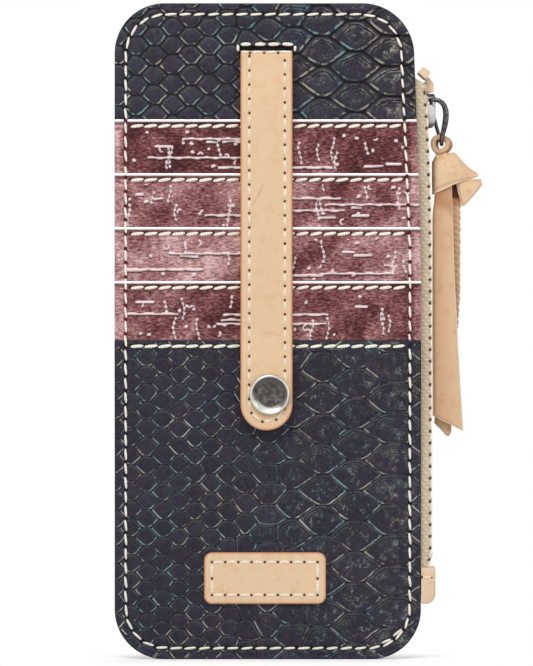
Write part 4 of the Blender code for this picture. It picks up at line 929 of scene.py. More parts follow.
for index, (top, pale, fall) in enumerate(zip(POCKET_TOPS, ROW_TONES, ROW_FALLS)):
    node = "card_pocket_%d" % (index + 1)
    shown = 17.2 if index < 3 else 18.8
    row = line_points(-42.6, top - ROW_DROP, float(right_side(top)) - 4.6, top - ROW_DROP, 4.2)
    levels = np.concatenate([np.linspace(top - POCKET_DEPTH, top - shown - 1.2, 9), spaced(top - shown, top, 0.36)])
    mesh, share, z, w = sheet_mesh(node + "_foil", spaced(0, WIDTH, 0.36) / WIDTH, levels)
    x = -HALF_WIDTH + (right_side(z) + HALF_WIDTH) * share
    down = top - z
    marks = foil_marks(index)
    clear = ease((down - 3.2) / 0.5)
    raised = mark_height(x, shown - down, marks) * clear
    shadow = np.clip(mark_height(x, shown - down + 0.5, marks) * clear - raised, 0, 1)
    # Tone: clouds, the fall to the right, a painted highlight along the left margin and down its crease, a lighter
    # right margin, and lighter at the foot of the pocket.
    tone = pale + 0.15 * np.sin(0.11 * x + 2 * index) + 0.12 * np.sin(0.31 * x - 0.4 * z)
    tone = tone - fall * ease((x - 2.0) / 14.0)
    tone = tone + 0.60 * ease((-44.2 - x) / 0.9) + 0.3 * close_to(x + 46.4, 0.4)
    tone = tone + 0.52 * ease((x - right_side(z) + 2.6) / 0.8) + 0.18 * close_to(shown - down - 0.6, 0.8)
    # Depth: a slight sag, the rolled top, the seam with its holes, and a crease at the left.
    sag = 0.003 * np.sin(x * 0.21 + index) * ease(down / 3) + 0.0015 * np.sin(x * 0.63 + 2 * index)
    hole = np.minimum(nearest(x, z, perimeter), nearest(x, z, row))
    edge = np.where(w > 0.5, 0.0, np.minimum(x + HALF_WIDTH, right_side(z) - x))
    bead = 0.25 * np.sqrt(np.maximum(1 - ((down - 0.55) / 0.55) ** 2, 0)) * (down < 1.1)
    dimple = 0.14 * close_to(down - ROW_DROP, 0.5) + 0.2 * close_to(hole, 0.6) - 0.09 * close_to(x + 46.0, 0.35)
    relief = rounded(edge, 0.3) - bead - 0.16 * raised + dimple
    put(mesh, x, pocket_face(z, top) + sag + np.where(w > 0.5, POCKET_SHEET, relief), z)
    # Painted shadow: lines above and below the row of stitches, and under each raised mark. The fold value is a
    # painted highlight along the rolled top.
    lines = 0.9 * close_to(down - 1.18, 0.26) + 0.6 * close_to(down - 2.75, 0.22)
    set_values(mesh, raised=raised, hole=hole, fold=np.where(w < 0.5, 1 - ease((down - 0.62) / 0.25), 0.6),
               tone=np.clip(tone, 0, 1), under=np.maximum(lines, 0.95 * shadow))
    register(node + "_foil", mesh, rose_foil, "case", (node,))
    sew(node + "_stitching", row, lambda h, t=top: pocket_face(h, t) + 0.1, 0.98, 0.97, -0.17)

sew("case_seam_stitching", perimeter, case_face, 0.76, 0.84, -0.10, closed=True)
# The back's seam is open beside the zip, and starts above the gap.
back_seam = perimeter[perimeter[:, 0] < 43.8]
gap = int(np.argmax(np.hypot(*np.diff(back_seam, axis=0).T) > LONGEST_STITCH))
sew("case_seam_stitching_back", np.roll(back_seam, -gap - 1, axis=0), level(2.95), 0.76, 0.84,
    -0.10)
row_z = FRONT_POCKET_TOP - 1.9
front_row = line_points(-42.6, row_z, float(right_side(FRONT_POCKET_TOP)) - 4.8, row_z, 4.3)
sew("front_pocket_stitching", front_row, front_pocket_face, 0.98, 1.03, -0.12)


# --- Plates of natural leather: strap, its backing and the label patch

# The rear faces count as this far from a cut edge, so they stay plain.
REAR_EDGE = 0.9


def plate(name, sides, radius, top, face, thickness, made_of, body, node, pitch, holes, round_off=0.5, dish=0.0,
          scratches=()):
    """A flat piece of hide with rounded corners and edges, drawn in a little along its stitches."""
    x0, x1, z0, z1 = sides
    mesh, share, z, w = sheet_mesh(name, spaced(0, x1 - x0, pitch) / (x1 - x0), spaced(z0, top, pitch))
    draw = corner_draw(z, z0, z1, radius)
    x = x0 + draw + (x1 - x0 - 2 * draw) * share
    rim = from_corner(np.minimum(x - x0, x1 - x), np.minimum(z - z0, z1 - z), radius)
    edge = np.where(w > 0.5, REAR_EDGE, rim)
    hole = nearest(x, z, holes)
    drawn = 0.7 * rounded(edge, round_off) + 0.22 * close_to(hole, 0.55) + dish * ease(edge / 3.0)
    put(mesh, x, face(z) + np.where(w > 0.5, thickness, drawn), z)
    set_values(mesh, edge=edge, hole=hole, worn=0.30 * mark_height(x, z, scratches) * (w < 0.5))
    return register(name, mesh, made_of, body, (node,))


def strap_face(z):
    return strap_rear(z) - 2.4


def strap_curl(z):
    """The strap's face where it also curls back into its slit, above the bend."""
    return strap_face(z) + 2.6 * ease((z - 187.5) / 1.1) ** 2


def bend_with_strap(piece):
    """The strap is one strip of hide: this piece is taken off the strap's body and kept in place at its slit."""
    piece.parent = None
    if "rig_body" in piece:
        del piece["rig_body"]
    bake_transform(piece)


# The strap has no upper corners, so its sides go on well past its top.
STRAP_SIDES = (STRAP_LEFT, STRAP_RIGHT, STRAP_BOTTOM, 400.0)
STRAP_END = 8.05
foot = [(-0.25 + 5.5 * math.cos(a), 79.1 + 5.5 * math.sin(a)) for a in np.linspace(math.pi, 1.93 * math.pi, 12)]
strap_holes = np.concatenate([along(side, pitch=4.37)
                              for side in ([(-5.7, 186.9)] + foot, [(5.25, 185.6), (5.3, 80.8)])])
slit_holes = [(-5.5, 187.95), (-1.1, 187.95), (3.2, 187.95)]
# Light scratches, as two ends, a radius and a strength.
scratches = ((-1.4, 147.2, -2.9, 143.6, 0.3, 1.0), (-2.9, 143.6, -5.0, 140.6, 0.25, 0.8),
             (-1.0, 101.5, 3.6, 100.4, 0.22, 0.5), (0.5, 166.2, 2.2, 168.0, 0.22, 0.5))
all_holes = np.concatenate([strap_holes, slit_holes])
bend_with_strap(plate("strap_hide", STRAP_SIDES, STRAP_END, 188.55, strap_curl, 1.2, strap_hide, "strap",
                      "strap_front", 0.36, all_holes, scratches=scratches))
plate("strap_backing_hide", STRAP_SIDES, STRAP_END, STRAP_TOP, lambda z: strap_rear(z) - 0.9, 0.9, strap_hide, "strap",
      "strap_backing", 0.8, strap_holes, 0.3)
bend_with_strap(sew("strap_stitching", strap_holes, lambda z: strap_face(z) + 0.05, 0.86, 0.78,
                    thread=pale_thread, body="strap"))
sew("strap_stitching_rear", strap_holes[strap_holes[:, 1] < 184.5], lambda z: strap_rear(z) + 0.03,
    0.6, 0.80, tall=0.4, thread=pale_thread, body="strap")

PATCH = (-19.75, 18.05, 17.2, 33.2)
PATCH_FACE = level(-3.15)
left, right, low, high = -17.3, 15.4, 20.0, 30.2
patch_holes = np.concatenate([line_points(left, high, right, high, 4.1), line_points(right, high, right, low, 5.1)[1:],
                              line_points(right, low, left, low, 4.1)[1:],
                              line_points(left, low, left, high, 5.1)[1:-1]])
plate("label_patch_hide", PATCH, 2.5, PATCH[3], PATCH_FACE, 1.2, patch_hide, "case", "label_patch", 0.36, patch_holes,
      0.6, -0.12)
sew("label_patch_stitching", patch_holes, PATCH_FACE, 0.95, 0.80, closed=True, thread=patch_thread)


# --- Hidden sheets: pocket backing and linings

# Beside the zip the hidden sheets end here, between these heights.
HIDDEN_RIGHT = 43.6
ZIP_LOW, ZIP_HIGH = 19.7, 185.1


def hidden_sheet(name, inset, front, thickness, made_of, node):
    """A plain sheet behind the pockets, open beside the zip. front gives the depth of its front face."""
    levels = np.concatenate([spaced(inset, ZIP_LOW - 0.1, 2.0), spaced(ZIP_LOW + 0.05, ZIP_HIGH - 0.05, 3.0),
                             spaced(ZIP_HIGH + 0.1, HEIGHT - inset, 2.0)])
    mesh, share, z, w = sheet_mesh(name, np.linspace(0, 1, 49), levels, True)
    draw = inset + corner_draw(z, inset, HEIGHT - inset, CORNER - inset)
    beside_zip = (z > ZIP_LOW) & (z < ZIP_HIGH) | (inset > 0)
    left = -HALF_WIDTH + draw
    right = np.minimum(right_side(z) - draw, np.where(beside_zip, HIDDEN_RIGHT, HALF_WIDTH))
    x = left + (right - left) * share
    put(mesh, x, front(x, z) + thickness * w, z)
    return register(name, mesh, made_of, "case", (node,))


hidden_sheet("pocket_backing_board", 0.0, lambda x, z: -0.35 + 0 * z, 0.7, board, "pocket_backing")
lining = hidden_sheet("front_lining_cloth", 2.0, lambda x, z: 0.65 + 0 * z, 0.3, lining_cloth,
                      "lining_front")
lining = hidden_sheet("back_lining_cloth", 2.0, lambda x, z: 1.25 + CROWN * crown(x, z), 0.3, lining_cloth,
                      "lining_back")


# --- The zip's folded tapes, with an edge seam

TAPE_PITCH = 3.62
TAPE_LOW, TAPE_INNER = 20.0, 43.9
tape_levels = np.concatenate([[TAPE_LOW, 20.2], np.arange(20.6, 176.3, 0.6), [176.6]])


def tape(name, side, node):
    """A folded tape: a tuck and a puffed lip along the case, and a web that carries the teeth."""
    face_y, outer_y = CHAIN_Y + side * 4.0, CHAIN_Y + side * 4.6
    rings, holes = [], []
    for z in tape_levels:
        near_hole = math.cos(2 * math.pi * (z - TAPE_LOW) / TAPE_PITCH)
        lip = float(lip_x(z)) - 0.20 * (0.5 + 0.5 * near_hole) ** 2
        end = CHAIN_Y + side * (2.0 + float(part_width(z)))
        puff = side * 0.14 * (0.5 - 0.5 * near_hole)
        last = z == tape_levels[-1]
        flat = [(TAPE_INNER + (lip - TAPE_INNER) * share, outer_y) for share in (0, 0.3, 0.55, 0.70, 0.78)]
        flat += [(lip - 1.35, outer_y - side * 0.10), (lip - 0.62, outer_y + 0.6 * puff), (lip - 0.35, outer_y + puff),
                 (lip - 0.08, outer_y - side * 0.12), (lip, outer_y - side * 0.3), (lip - 0.08, face_y + side * 0.1),
                 (lip - 0.3, face_y), (48.5, face_y), (48.2, face_y - side * 0.1), (48.2, end), (48.1, end),
                 (47.9, end), (47.8, end), (47.8, face_y), (46.0, face_y), (TAPE_INNER, face_y)]
        # The last ring slopes: the tape is cut off higher at its inner side.
        rings.append([(x, float(pinch(y, z)), 178.3 + 0.6 * (49.2 - x) if last else z) for x, y in flat])
        offset = (z - TAPE_LOW + TAPE_PITCH / 2) % TAPE_PITCH - TAPE_PITCH / 2
        holes.append([math.hypot(x - lip + 0.62, offset) for x, y in flat])
    swept(name, rings, canvas, "case", "zip_tape", (node,), hole=holes)
    seam = [(float(lip_x(z)) - 0.34, z) for z in np.arange(TAPE_LOW + TAPE_PITCH, 175.0, TAPE_PITCH)]
    sew(name + "_stitching", seam, lambda z: pinch(outer_y, z) + side * 0.05, 0.66, 0.74)


tape("zip_tape_front_canvas", -1, "zip_tape_front")
tape("zip_tape_back_canvas", 1, "zip_tape_back")


# --- Leather tabs over the ends of the zip

TAB_LOW, TAB_HIGH = 17.2, 28.4
TAB_OUTER, TAB_INNER = 52.0, 50.9
TAB_FRONT = -1.65
tab_row = [(47.75, 25.45), (50.85, 25.3)]


def wrap_tab():
    """The lower tab: one strip of hide folded round the gusset, its lower outer corner rounded.

    It dips between the tapes, where nothing holds it out and the knot of the pull goes past.
    """
    depths = np.linspace(0, 9, 19)
    (hole_x, hole_z), (far_x, far_z) = tab_row

    def drawn(y, z):
        deep = pinch(y, z)
        behind = ease((pinch(9.6, z) - 0.9 - deep) / 1.9)
        return 1.45 * float(ease(deep / 1.9) * max(behind, 1 - ease((z - 21.0) / 1.6)))

    rings, holes = [], []
    for z in np.concatenate([[TAB_LOW, 17.3, 17.5], np.arange(17.9, 24.6, 0.5), np.arange(24.8, 26.2, 0.2),
                             np.arange(26.4, 27.9, 0.5), [28.1, 28.3, TAB_HIGH]]):
        corner = TAB_OUTER - float(corner_draw(z, TAB_LOW, 80.0, 3.0))
        nip = 0.25 - 0.25 * float(ease(min(z - TAB_LOW, TAB_HIGH - z) / 0.35))
        outside = [(x, TAB_FRONT + nip) for x in np.linspace(47.6, 51.1, 15)]
        outside += [(51.4, -1.55 + nip), (51.85, -1.25), (TAB_OUTER, -0.85)] + [(TAB_OUTER, y) for y in depths]
        outside += [(TAB_OUTER, 9.6), (51.85, 9.95), (51.4, 10.25 - nip)]
        outside += [(x, 10.35 - nip) for x in np.linspace(50.7, 47.8, 9)]
        inside = [(47.8, 9.25), (50.7, 9.25)] + [(TAB_INNER, y) for y in depths[::-1]]
        inside += [(TAB_INNER, -0.3), (50.7, -0.55), (47.8, -0.55)]
        ring = [(min(x, TAB_OUTER - drawn(y, z), corner), float(pinch(y, z)), z) for x, y in outside]
        ring += [(min(x, TAB_INNER - drawn(y, z), corner - 0.6), float(pinch(y, z)), z) for x, y in inside]
        rings.append(ring)
        holes.append([min(math.hypot(x - hole_x, z - hole_z), math.hypot(x - far_x, z - far_z) + 0.14)
                      + 0.04 * abs(y - TAB_FRONT) for x, y, z in ring])
    swept("zip_tab_bottom_hide", rings, tab_hide, "case", "natural_leather", ("zip_tab_bottom",), sharp=60, hole=holes)


wrap_tab()
sew("zip_tab_bottom_stitching", tab_row, level(-1.68), 0.6, 0.8)


def bar(name, profile, low, high, axis, made_of, body, replaces, soften):
    """A piece of one section, run along X or Y and softened at every edge."""
    bm = bmesh.new()
    along_x = axis == "X"
    loop = [bm.verts.new(Vector((low, a, b) if along_x else (a, low, b)) * MM) for a, b in profile]
    moved = bmesh.ops.extrude_face_region(bm, geom=[bm.faces.new(loop)])["geom"]
    run = Vector((1, 0, 0) if along_x else (0, 1, 0)) * (high - low) * MM
    bmesh.ops.translate(bm, vec=run, verts=only_verts(moved))
    bmesh.ops.recalc_face_normals(bm, faces=bm.faces)
    bmesh.ops.bevel(bm, geom=bm.edges, offset=soften * MM, segments=3, profile=0.5, affect="EDGES", material=-1)
    return write_mesh(name, bm, made_of, body, replaces, 60)


bar("zip_tab_top_fold", [(46.5, 182.0), (48.2, 183.9), (50.6, 182.2), (48.9, 179.9)],
    -0.8, float(pinch(8.35, 181.5)) + 0.6, "Y", tab_hide, "case", ("zip_tab_top",), 0.35)
bar("zip_tab_top_tongue", [(48.95, 180.3), (49.9, 180.8), (51.5, 179.0), (51.6, 176.4), (50.3, 175.95), (49.0, 176.3)],
    CHAIN_Y - 2.1, CHAIN_Y + 2.1, "Y", tab_hide, "case", (), 0.2)
bar("strap_root", [(-1.95, 186.9), (-2.9, 186.9), (-2.9, 188.1), (-2.0, 188.75), (-0.35, 188.75), (-0.35, 198.8),
                   (0.35, 198.8), (0.35, 187.3), (-1.95, 187.3)],
    STRAP_LEFT + 0.1, STRAP_RIGHT - 0.1, "X", strap_hide, "case", ("strap_sewn_end",), 0.15)

# The stitches round the slit, and the tack that ends the case's seam at the lower right.
slit_row = [(x, 190.75) for x in (-9.0, -4.6, -0.3, 4.0, 8.4)]
sew("slit_stitching_upper", slit_row, level(-1.75), 1.15, 0.86, tall=1.0)
sew("slit_stitching_ends", [(-9.3, 190.9), (-9.2, 188.3)], level(-1.8), 0.9)
sew("slit_stitching_right", [(8.6, 190.6), (8.3, 188.3)], level(-1.8), 0.9)
sew("slit_stitching_lower", [(-8.6, 188.35), (-5.5, 188.25), (-1.1, 188.25), (3.2, 188.25), (7.7, 188.35)],
    lambda z: strap_face(z) + 0.25, 0.7, 0.84)
tack = perimeter[(perimeter[:, 0] > 33) & (perimeter[:, 0] < 43.2) & (perimeter[:, 1] < 11)]
sew("case_seam_tack", tack + (-0.55, 0.75), case_face, 0.7, slant=0.1)


# --- Metal: snap, zip and ring

def lathed(name, profile, body, made_of, node):
    """A turned piece on the snap's axis, from a profile of radius and depth."""
    bm = bmesh.new()
    verts = [bm.verts.new(Vector((SNAP[0] + r, y, SNAP[1])) * MM) for r, y in profile]
    edges = [bm.edges.new(pair) for pair in zip(verts, verts[1:])]
    bmesh.ops.spin(bm, geom=verts + edges, cent=Vector((SNAP[0], 0, SNAP[1])) * MM, axis=(0, 1, 0), dvec=(0, 0, 0),
                   angle=2 * math.pi, steps=64, use_merge=True)
    bmesh.ops.remove_doubles(bm, verts=bm.verts, dist=1e-6)
    bmesh.ops.recalc_face_normals(bm, faces=bm.faces)
    return write_mesh(name, bm, made_of, body, (node,), 35)


lathed("snap_cap_dome", [(0, -8.98), (1.6, -8.98), (3.2, -8.96), (3.9, -8.97), (4.3, -9.01), (4.8, -9.14),
                         (5.3, -9.34), (5.6, -9.46), (5.82, -9.50), (6.02, -9.44), (6.17, -9.28), (6.25, -9.02),
                         (6.22, -8.72), (6.08, -8.48), (5.85, -8.40), (1.2, -8.40), (1.2, -5.72), (0, -5.72)],
       "strap", cap_nickel, "snap_cap")
lathed("snap_socket_turned", [(2.35, -5.40), (4.6, -5.40), (4.82, -5.36), (4.9, -5.2), (4.9, -4.9), (4.78, -4.8),
                              (3.6, -4.22), (3.4, -4.20), (2.35, -4.20), (2.35, -5.40)],
       "strap", nickel, "snap_socket")
lathed("snap_stud_turned", [(0, -5.10), (1.3, -5.10), (1.75, -5.0), (2.0, -4.75), (1.95, -4.5), (1.72, -4.15),
                            (1.8, -3.92), (4.4, -3.84), (4.65, -3.78), (4.7, -3.6), (4.7, -3.42), (1.2, -3.40),
                            (1.2, -2.1), (0, -2.1)],
       "case", nickel, "snap_stud")

# These nodes keep the CAD's shape, with their edges softened: the finish, the width in mm and the steps.
cad_metal = dict.fromkeys(
    ("zip_chain_front", "zip_chain_back", "zip_top_stop_front", "zip_top_stop_back", "zip_bottom_stop"),
    (dark_nickel, 0.1, 1))
cad_metal["zip_slider"] = (slider_zinc, 0.18, 3)
for node_name, (made_of, width, segments) in cad_metal.items():
    node = frame["nodes"][node_name]
    for item in node.material_slots:
        item.material = made_of
    weld = node.modifiers.new("weld", "WELD")
    weld.merge_threshold = 1e-6
    soften = node.modifiers.new("bevel", "BEVEL")
    soften.width = width * MM
    soften.segments = segments
    soften.limit_method = "ANGLE"
    soften.angle_limit = math.radians(30)


def wire(name, points, radius, made_of, body, node, swell):
    """A closed ring of bent wire along a smooth line, as a mesh. swell gives its thickness at each point."""
    curve = bpy.data.curves.new(name, "CURVE")
    curve.dimensions = "3D"
    curve.bevel_depth = radius * MM
    curve.bevel_resolution = 4
    curve.resolution_u = 10
    spline = curve.splines.new("BEZIER")
    spline.bezier_points.add(len(points) - 1)
    for knot, point, thick in zip(spline.bezier_points, points, swell):
        knot.co = Vector(point) * MM
        knot.radius = thick
        knot.handle_left_type = knot.handle_right_type = "AUTO"
    spline.use_cyclic_u = True
    line = bpy.data.objects.new(name + "_line", curve)
    bpy.context.scene.collection.objects.link(line)
    bpy.context.view_layer.update()
    mesh = bpy.data.meshes.new_from_object(line.evaluated_get(bpy.context.evaluated_depsgraph_get()))
    bpy.data.objects.remove(line)
    mesh.name = name
    mesh.materials.clear()
    return register(name, mesh, made_of, body, (node,))


bar("slider_cheek", [(49.6, 164.9), (51.0, 165.0), (51.8, 165.8), (52.1, 167.2), (52.1, 171.4), (51.7, 172.2),
                     (49.6, 172.4)],
    CHAIN_Y - 0.95, CHAIN_Y + 0.95, "Y", slider_zinc, "slider", (), 0.3)

# The ring's pivot, how far it bows out, how far it hangs down, and its legs as shares of the two.
RING_X, RING_Z, REACH, DROP = 50.75, 173.6, 4.6, 13.2
bowed = ((0.38, 0.0), (0.72, -0.06), (0.94, -0.19), (1.0, -0.36), (0.95, -0.54), (0.84, -0.72), (0.73, -0.90))
straight = ((0.04, -0.05), (0.10, -0.19), (0.21, -0.36), (0.35, -0.54), (0.50, -0.72), (0.65, -0.90))


def leg(shares, side):
    start = (RING_X, CHAIN_Y + side * 1.95, RING_Z)
    end = (RING_X + 3.3, CHAIN_Y + side * 1.95, RING_Z - DROP)
    return [start] + [(RING_X + dx * REACH, CHAIN_Y + side * 3.0, RING_Z + dz * DROP) for dx, dz in shares] + [end]


swell = [0.95, 1.0, 1.15, 1.28, 1.34, 1.3, 1.15, 1.0, 0.9] + [0.85] * 8
wire("puller_ring_wire", leg(bowed, -1) + leg(straight, 1)[::-1], 0.7, dark_nickel, "puller",
     "puller_ring", swell)


# --- The knotted leather pull

def spanned(bottom, top, left, right, u, v):
    """X and Z of a surface through four sides, u from left to right and v from bottom to top."""
    def on(side, share):
        side = np.array(side, float)
        length = np.concatenate([[0], np.cumsum(np.hypot(*np.diff(side, axis=0).T))])
        return [np.interp(share * length[-1], length, side[:, i]) for i in (0, 1)]

    low, high, west, east = on(bottom, u), on(top, u), on(left, v), on(right, v)
    found = []
    for i in (0, 1):
        corners = ((1 - u) * (1 - v) * bottom[0][i] + u * (1 - v) * bottom[-1][i]
                   + (1 - u) * v * top[0][i] + u * v * top[-1][i])
        found.append((1 - v) * low[i] + v * high[i] + (1 - u) * west[i] + u * east[i] - corners)
    return found


def thong(name, bottom, top, left, right, face, thickness, size, worn, rough_side=False, turned=0.9):
    """A flat strip of hide, rounded at its cut edges and bowed in depth. Its tint function of u and v says how far it
    is darkened: a darker base colour, and painted shade under the knot and on its shaded side.

    A rough side is ragged on its right, where the hide's fibres show in cross ridges.
    """
    wide, tall = size
    mesh, u, v, w = sheet_mesh(name, spaced(0, wide, 0.4) / wide, spaced(0, tall, 0.6) / tall)
    x, z = spanned(bottom, top, left, right, u, v)
    edge = np.minimum(np.minimum(u, 1 - u) * wide, np.minimum(v, 1 - v) * tall)
    bend = turned * (1 - ease(edge / 1.3)) ** 2
    dark = worn(u, v) * (0.35 + 0.65 * ease(edge / 0.6))
    painted_shadow_distance = np.full(len(v), 0.95)
    if rough_side:
        x = x + 0.22 * np.sin(z * 2.6) * np.sin(z * 0.9 + 1) * ease((u - 0.72) / 0.28)
        ragged = np.sin(z * 3.3 + u * 9) + 0.6 * np.sin(z * 7.1 - u * 14)
        bend = bend + 0.2 * ragged * ease((u - 0.35) / 0.3)
        # Painted shadow at the top of the rough tail, where it goes under the knot, through the hole tint.
        painted_shadow_distance = 0.95 - 0.6 * ease((v - 0.90) / 0.035)
    dark = np.where(w > 0.5, 0.15, dark)
    if rough_side:
        dark = dark + 0.5 * ease((u - 0.55) / 0.1) * (0.5 + 0.5 * np.sin(z * 3.3 + u * 9))
    put(mesh, x, face(u, v) + np.where(w > 0.5, thickness, np.clip(bend, -0.3, thickness - 0.3)), z)
    set_values(mesh, edge=edge + 0.15, worn=np.clip(dark, 0, 1), hole=painted_shadow_distance)
    return register(name, mesh, pull_hide, "pull")


def knot_band():
    """The wrap of the knot: a strip folded over, its fold on top and left, its cut edges below."""
    bottom = [(51.2, 144.2), (54.9, 145.9), (58.0, 147.4), (61.6, 148.6), (65.2, 149.8)]
    top = [(52.0, 156.1), (55.2, 157.0), (58.2, 157.5), (62.3, 153.0), (65.4, 150.9)]
    left = [(51.2, 144.2), (51.1, 149.0), (51.1, 154.3), (52.0, 156.1)]
    right = [(65.2, 149.8), (65.5, 150.3), (65.4, 150.9)]
    rings, edges, plain = [], [], []
    outer = np.concatenate([[0, 0.02, 0.06], np.linspace(0.12, 0.7, 8),
                            0.7 + 0.3 * np.sin(np.linspace(0.12, 1, 11) * math.pi / 2)])
    inner = np.linspace(0, 0.8, 7)
    for u in np.concatenate([[0, 0.004, 0.012, 0.025, 0.045, 0.07, 0.1], np.linspace(0.14, 0.94, 26),
                             [0.965, 0.985, 1.0]]):
        # The band is fullest near its left fold and thins out to its tip.
        deep = 0.5 + 2.6 * math.sqrt(max(1 - (1 - min(u / 0.24, 1)) ** 2, 0)) - 1.6 * float(ease((u - 0.5) / 0.5))
        ring, marks, shades = [], [], []

        def point(side, depth, v):
            x, z = spanned(bottom, top, left, right, np.array(u), np.array(v))
            ring.append((float(x), CHAIN_Y + side * depth, float(z)))

        for side in (-1, 1):
            for v in outer if side < 0 else outer[::-1]:
                round_top = math.sqrt(max(1 - max((v - 0.66) / 0.34, 0) ** 2, 0))
                full = 0.84 + 0.16 * math.sin(math.pi * min(v * 1.1, 1)) + 0.03 * math.sin(9 * u + 2 * v)
                lip = 0.14 * (1 - float(ease(v / 0.05)))
                point(side, deep * round_top * full - lip, v)
                marks.append(v * 8.0 + 0.10)
                # Painted shade darkens the wrap towards its left fold, and a darker line runs just above its lower cut
                # edge.
                line = math.exp(-((v - 0.10) / 0.03) ** 2)
                shades.append(1 - 0.50 * (1 - float(ease(u / 0.08))) - 0.5 * line * float(ease(u / 0.1)))
        for side in (1, -1):
            for v in inner if side > 0 else inner[::-1]:
                point(side, max(deep * 0.86 - 1.25, 0.05) * (1 - (v / 0.85) ** 4), v)
                marks.append(0.5)
                # Painted shade on the inner faces.
                shades.append(0.25)
        rings.append(ring)
        edges.append(marks)
        plain.append(shades)
    swept("pull_knot_wrap", rings, pull_hide, "pull", "natural_leather", ("leather_pull",), sharp=55, edge=edges,
          worn=plain)


def loop_band():
    """The loop round the ring's lower bar, a strip on edge, with burnished rims of a darker orange tan and its walls
    darker still, as painted shade inside the loop.
    """
    section = [(-1.65, -1.9), (-1.75, -1.5), (-1.75, 1.5), (-1.65, 1.9), (-1.25, 2.15), (-0.85, 2.2), (-0.45, 2.15),
               (-0.1, 1.9), (0, 1.5), (0, -1.5), (-0.1, -1.9), (-0.45, -2.15), (-0.85, -2.2), (-1.25, -2.15)]
    rings = []
    for angle in np.linspace(0, 2 * math.pi, 61):
        wide = 3.1 + 0.12 * math.sin(3 * angle + 1)
        rings.append([(54.05 + (wide + r) * math.cos(angle) + 0.24 * y, CHAIN_Y + y,
                       159.8 + (wide + r) * math.sin(angle) - 0.05 * y) for r, y in section])
    # Painted shade on the band's walls, and the cut rims a lighter orange tan.
    plain = [0.70 if abs(y) > 2.1 else (0.4 if abs(y) > 1.8 else 0.2) for r, y in section]
    swept("pull_loop", rings, pull_hide, "pull", "natural_leather", capped=False,
          edge=np.full((len(rings), len(section)), 0.9), worn=[plain] * len(rings))


knot_band()
loop_band()
# Each thong's sides go round from its lower left, and both tails end in the knot.
# The thongs' darker tints are painted shade: at the top of each, under the knot, and towards the left of the bight and
# the front tail, over a darker base colour.
thong("pull_knot_bight", [(60.4, 140.8), (61.2, 140.7), (64.2, 144.0)], [(58.4, 148.8), (62.5, 149.0), (66.4, 149.2)],
      [(60.4, 140.8), (59.2, 145.0), (58.4, 148.8)], [(64.2, 144.0), (66.9, 147.4), (66.4, 149.2)],
      lambda u, v: CHAIN_Y - 1.9 + 0.5 * (2 * u - 1) ** 2 + 0 * v, 3.4, (8.0, 8.0),
      lambda u, v: 0.45 * ease((v - 0.80) / 0.2) + 0.35 * (1 - ease(u / 0.12)), turned=0.7)
thong("pull_front_tail", [(51.3, 75.5), (60.8, 70.6)], [(52.4, 149.0), (57.2, 149.0)],
      [(51.3, 75.5), (51.2, 100.0), (51.2, 138.0), (52.4, 149.0)],
      [(60.8, 70.6), (59.6, 90.0), (58.0, 120.0), (57.2, 149.0)],
      lambda u, v: 1.58 + 0.2 * (2 * u - 1) ** 2 - 0.3 * np.sin(3.1 * v) + ease((v - 0.90) / 0.06), 1.5, (9.0, 78.0),
      lambda u, v: 0.46 - 0.30 * ease(u) + 0.45 * ease((v - 0.87 + 0.04 * u) / 0.06), turned=0.4)
thong("pull_rear_tail", [(51.9, 73.1), (55.3, 69.5), (56.1, 69.0), (56.8, 69.4), (57.2, 71.6)],
      [(54.7, 149.0), (60.1, 149.0)], [(51.9, 73.1), (53.1, 110.0), (54.7, 149.0)],
      [(57.2, 71.6), (59.9, 113.1), (60.1, 149.0)],
      lambda u, v: 4.84 + 0.3 * np.sin(4 * v) + 0 * u, 1.5, (7.5, 78.0),
      lambda u, v: 0.12 + 0.8 * ease((v - 0.88) / 0.06) + 0 * u, rough_side=True, turned=0.4)
bar("pull_neck", [(52.3, 153.5), (52.3, 157.3), (55.9, 157.3), (55.9, 153.5)], CHAIN_Y - 1.6, CHAIN_Y + 1.6, "Y",
    pull_hide, "pull", (), 0.3)


# --- Floor, lamps and camera. Places and sizes are in metres here.

def lamp(name, place, aim, size, power):
    made = bpy.data.objects.new(name, bpy.data.lights.new(name, "AREA"))
    bpy.context.scene.collection.objects.link(made)
    made.data.shape = "RECTANGLE"
    made.data.size, made.data.size_y = size
    made.data.energy = power
    made.location = place
    made.rotation_euler = (Vector(aim) - Vector(place)).to_track_quat("-Z", "Y").to_euler()
    made.visible_camera = False


bm = bmesh.new()
bmesh.ops.create_grid(bm, x_segments=8, y_segments=8, size=6.0)
floor_mesh = bpy.data.meshes.new("floor")
bm.to_mesh(floor_mesh)
bm.free()
floor = bpy.data.objects.new("floor", floor_mesh)
bpy.context.scene.collection.objects.link(floor)
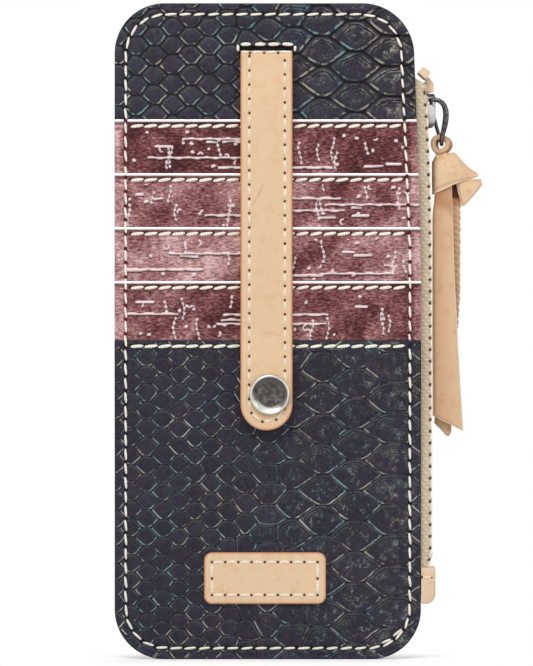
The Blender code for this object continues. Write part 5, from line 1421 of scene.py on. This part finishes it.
# White paper: its own shading near the object, where the shadow lies, and plain white further out.
paper, tree, skin = new_material("floor_paper", Roughness=0.9, Specular_IOR_Level=0.1)
skin.inputs["Base Color"].default_value = hex_colour("#f4f4f4")
where = add(tree, "TexCoord")
sides = add(tree, "VectorMath", [where], operation="ABSOLUTE")
beyond = add(tree, "VectorMath", [sides, (0.040, 0.006, 0.0)], operation="SUBTRACT")
outside = add(tree, "VectorMath", [beyond, (0.0, 0.0, 0.0)], operation="MAXIMUM")
away = add(tree, "VectorMath", [outside], output="Value", operation="LENGTH")
plain = add(tree, "MapRange", [away, 0.004, 0.024])
seen = add(tree, "LightPath", output="Is Camera Ray")
fade = add(tree, "Math", [plain, seen], operation="MULTIPLY")
strength = add(tree, "Math", [seen, 0.31], operation="MULTIPLY")
lift = add(tree, "Emission", {"Color": (1, 1, 1, 1), "Strength": strength})
near = add(tree, "AddShader", [skin.outputs[0], lift])
white = add(tree, "Emission", {"Color": (1, 1, 1, 1), "Strength": 1.0})
shown = add(tree, "MixShader", [fade, near, white])
tree.links.new(shown, tree.nodes["Material Output"].inputs["Surface"])
floor_mesh.materials.append(paper)

# The camera, glass and metal see a white studio, and the object is lit at a plain level.
world = bpy.data.worlds.new("studio")
bpy.context.scene.world = world
world.use_nodes = True
tree = world.node_tree
rays = add(tree, "LightPath").node.outputs
shown = add(tree, "Math", [rays["Is Camera Ray"], rays["Is Transmission Ray"]], operation="MAXIMUM")
mirrored = add(tree, "Math", [shown, rays["Is Glossy Ray"]], operation="MAXIMUM")
background = tree.nodes["Background"]
background.inputs["Color"].default_value = (1, 1, 1, 1)
tree.links.new(add(tree, "MapRange", [mirrored, 0.0, 1.0, 0.31, 1.0]), background.inputs["Strength"])

lamp("softbox_above", (-0.22, -0.80, 0.92), (0, 0, 0.11), (0.7, 0.5), 6.9)
lamp("softbox_right", (0.85, -0.8, 0.35), (0, 0, 0.10), (0.5, 0.8), 2.9)
lamp("softbox_left", (-0.9, -0.9, 0.25), (0, 0, 0.10), (0.4, 0.8), 1.8)
lamp("softbox_behind", (0.5, 1.0, 0.7), (0, 0, 0.10), (0.6, 0.6), 3.0)

# The camera looks straight at the front, and its frame is 206.5 mm high at the case's face.
VIEW_DISTANCE, VIEW_HEIGHT, FACE_DEPTH = 1600, 206.5, 2
camera = bpy.data.objects.new("camera", bpy.data.cameras.new("camera"))
bpy.context.scene.collection.objects.link(camera)
camera.location = (-0.0004, -VIEW_DISTANCE * MM, 0.1012)
camera.rotation_euler = (math.radians(90), 0, 0)
camera.data.sensor_width = 36.0
camera.data.lens = 36.0 * (VIEW_DISTANCE - FACE_DEPTH) / VIEW_HEIGHT
bpy.context.scene.camera = camera
bpy.context.scene.view_settings.view_transform = "Standard"

bpy.context.view_layer.update()
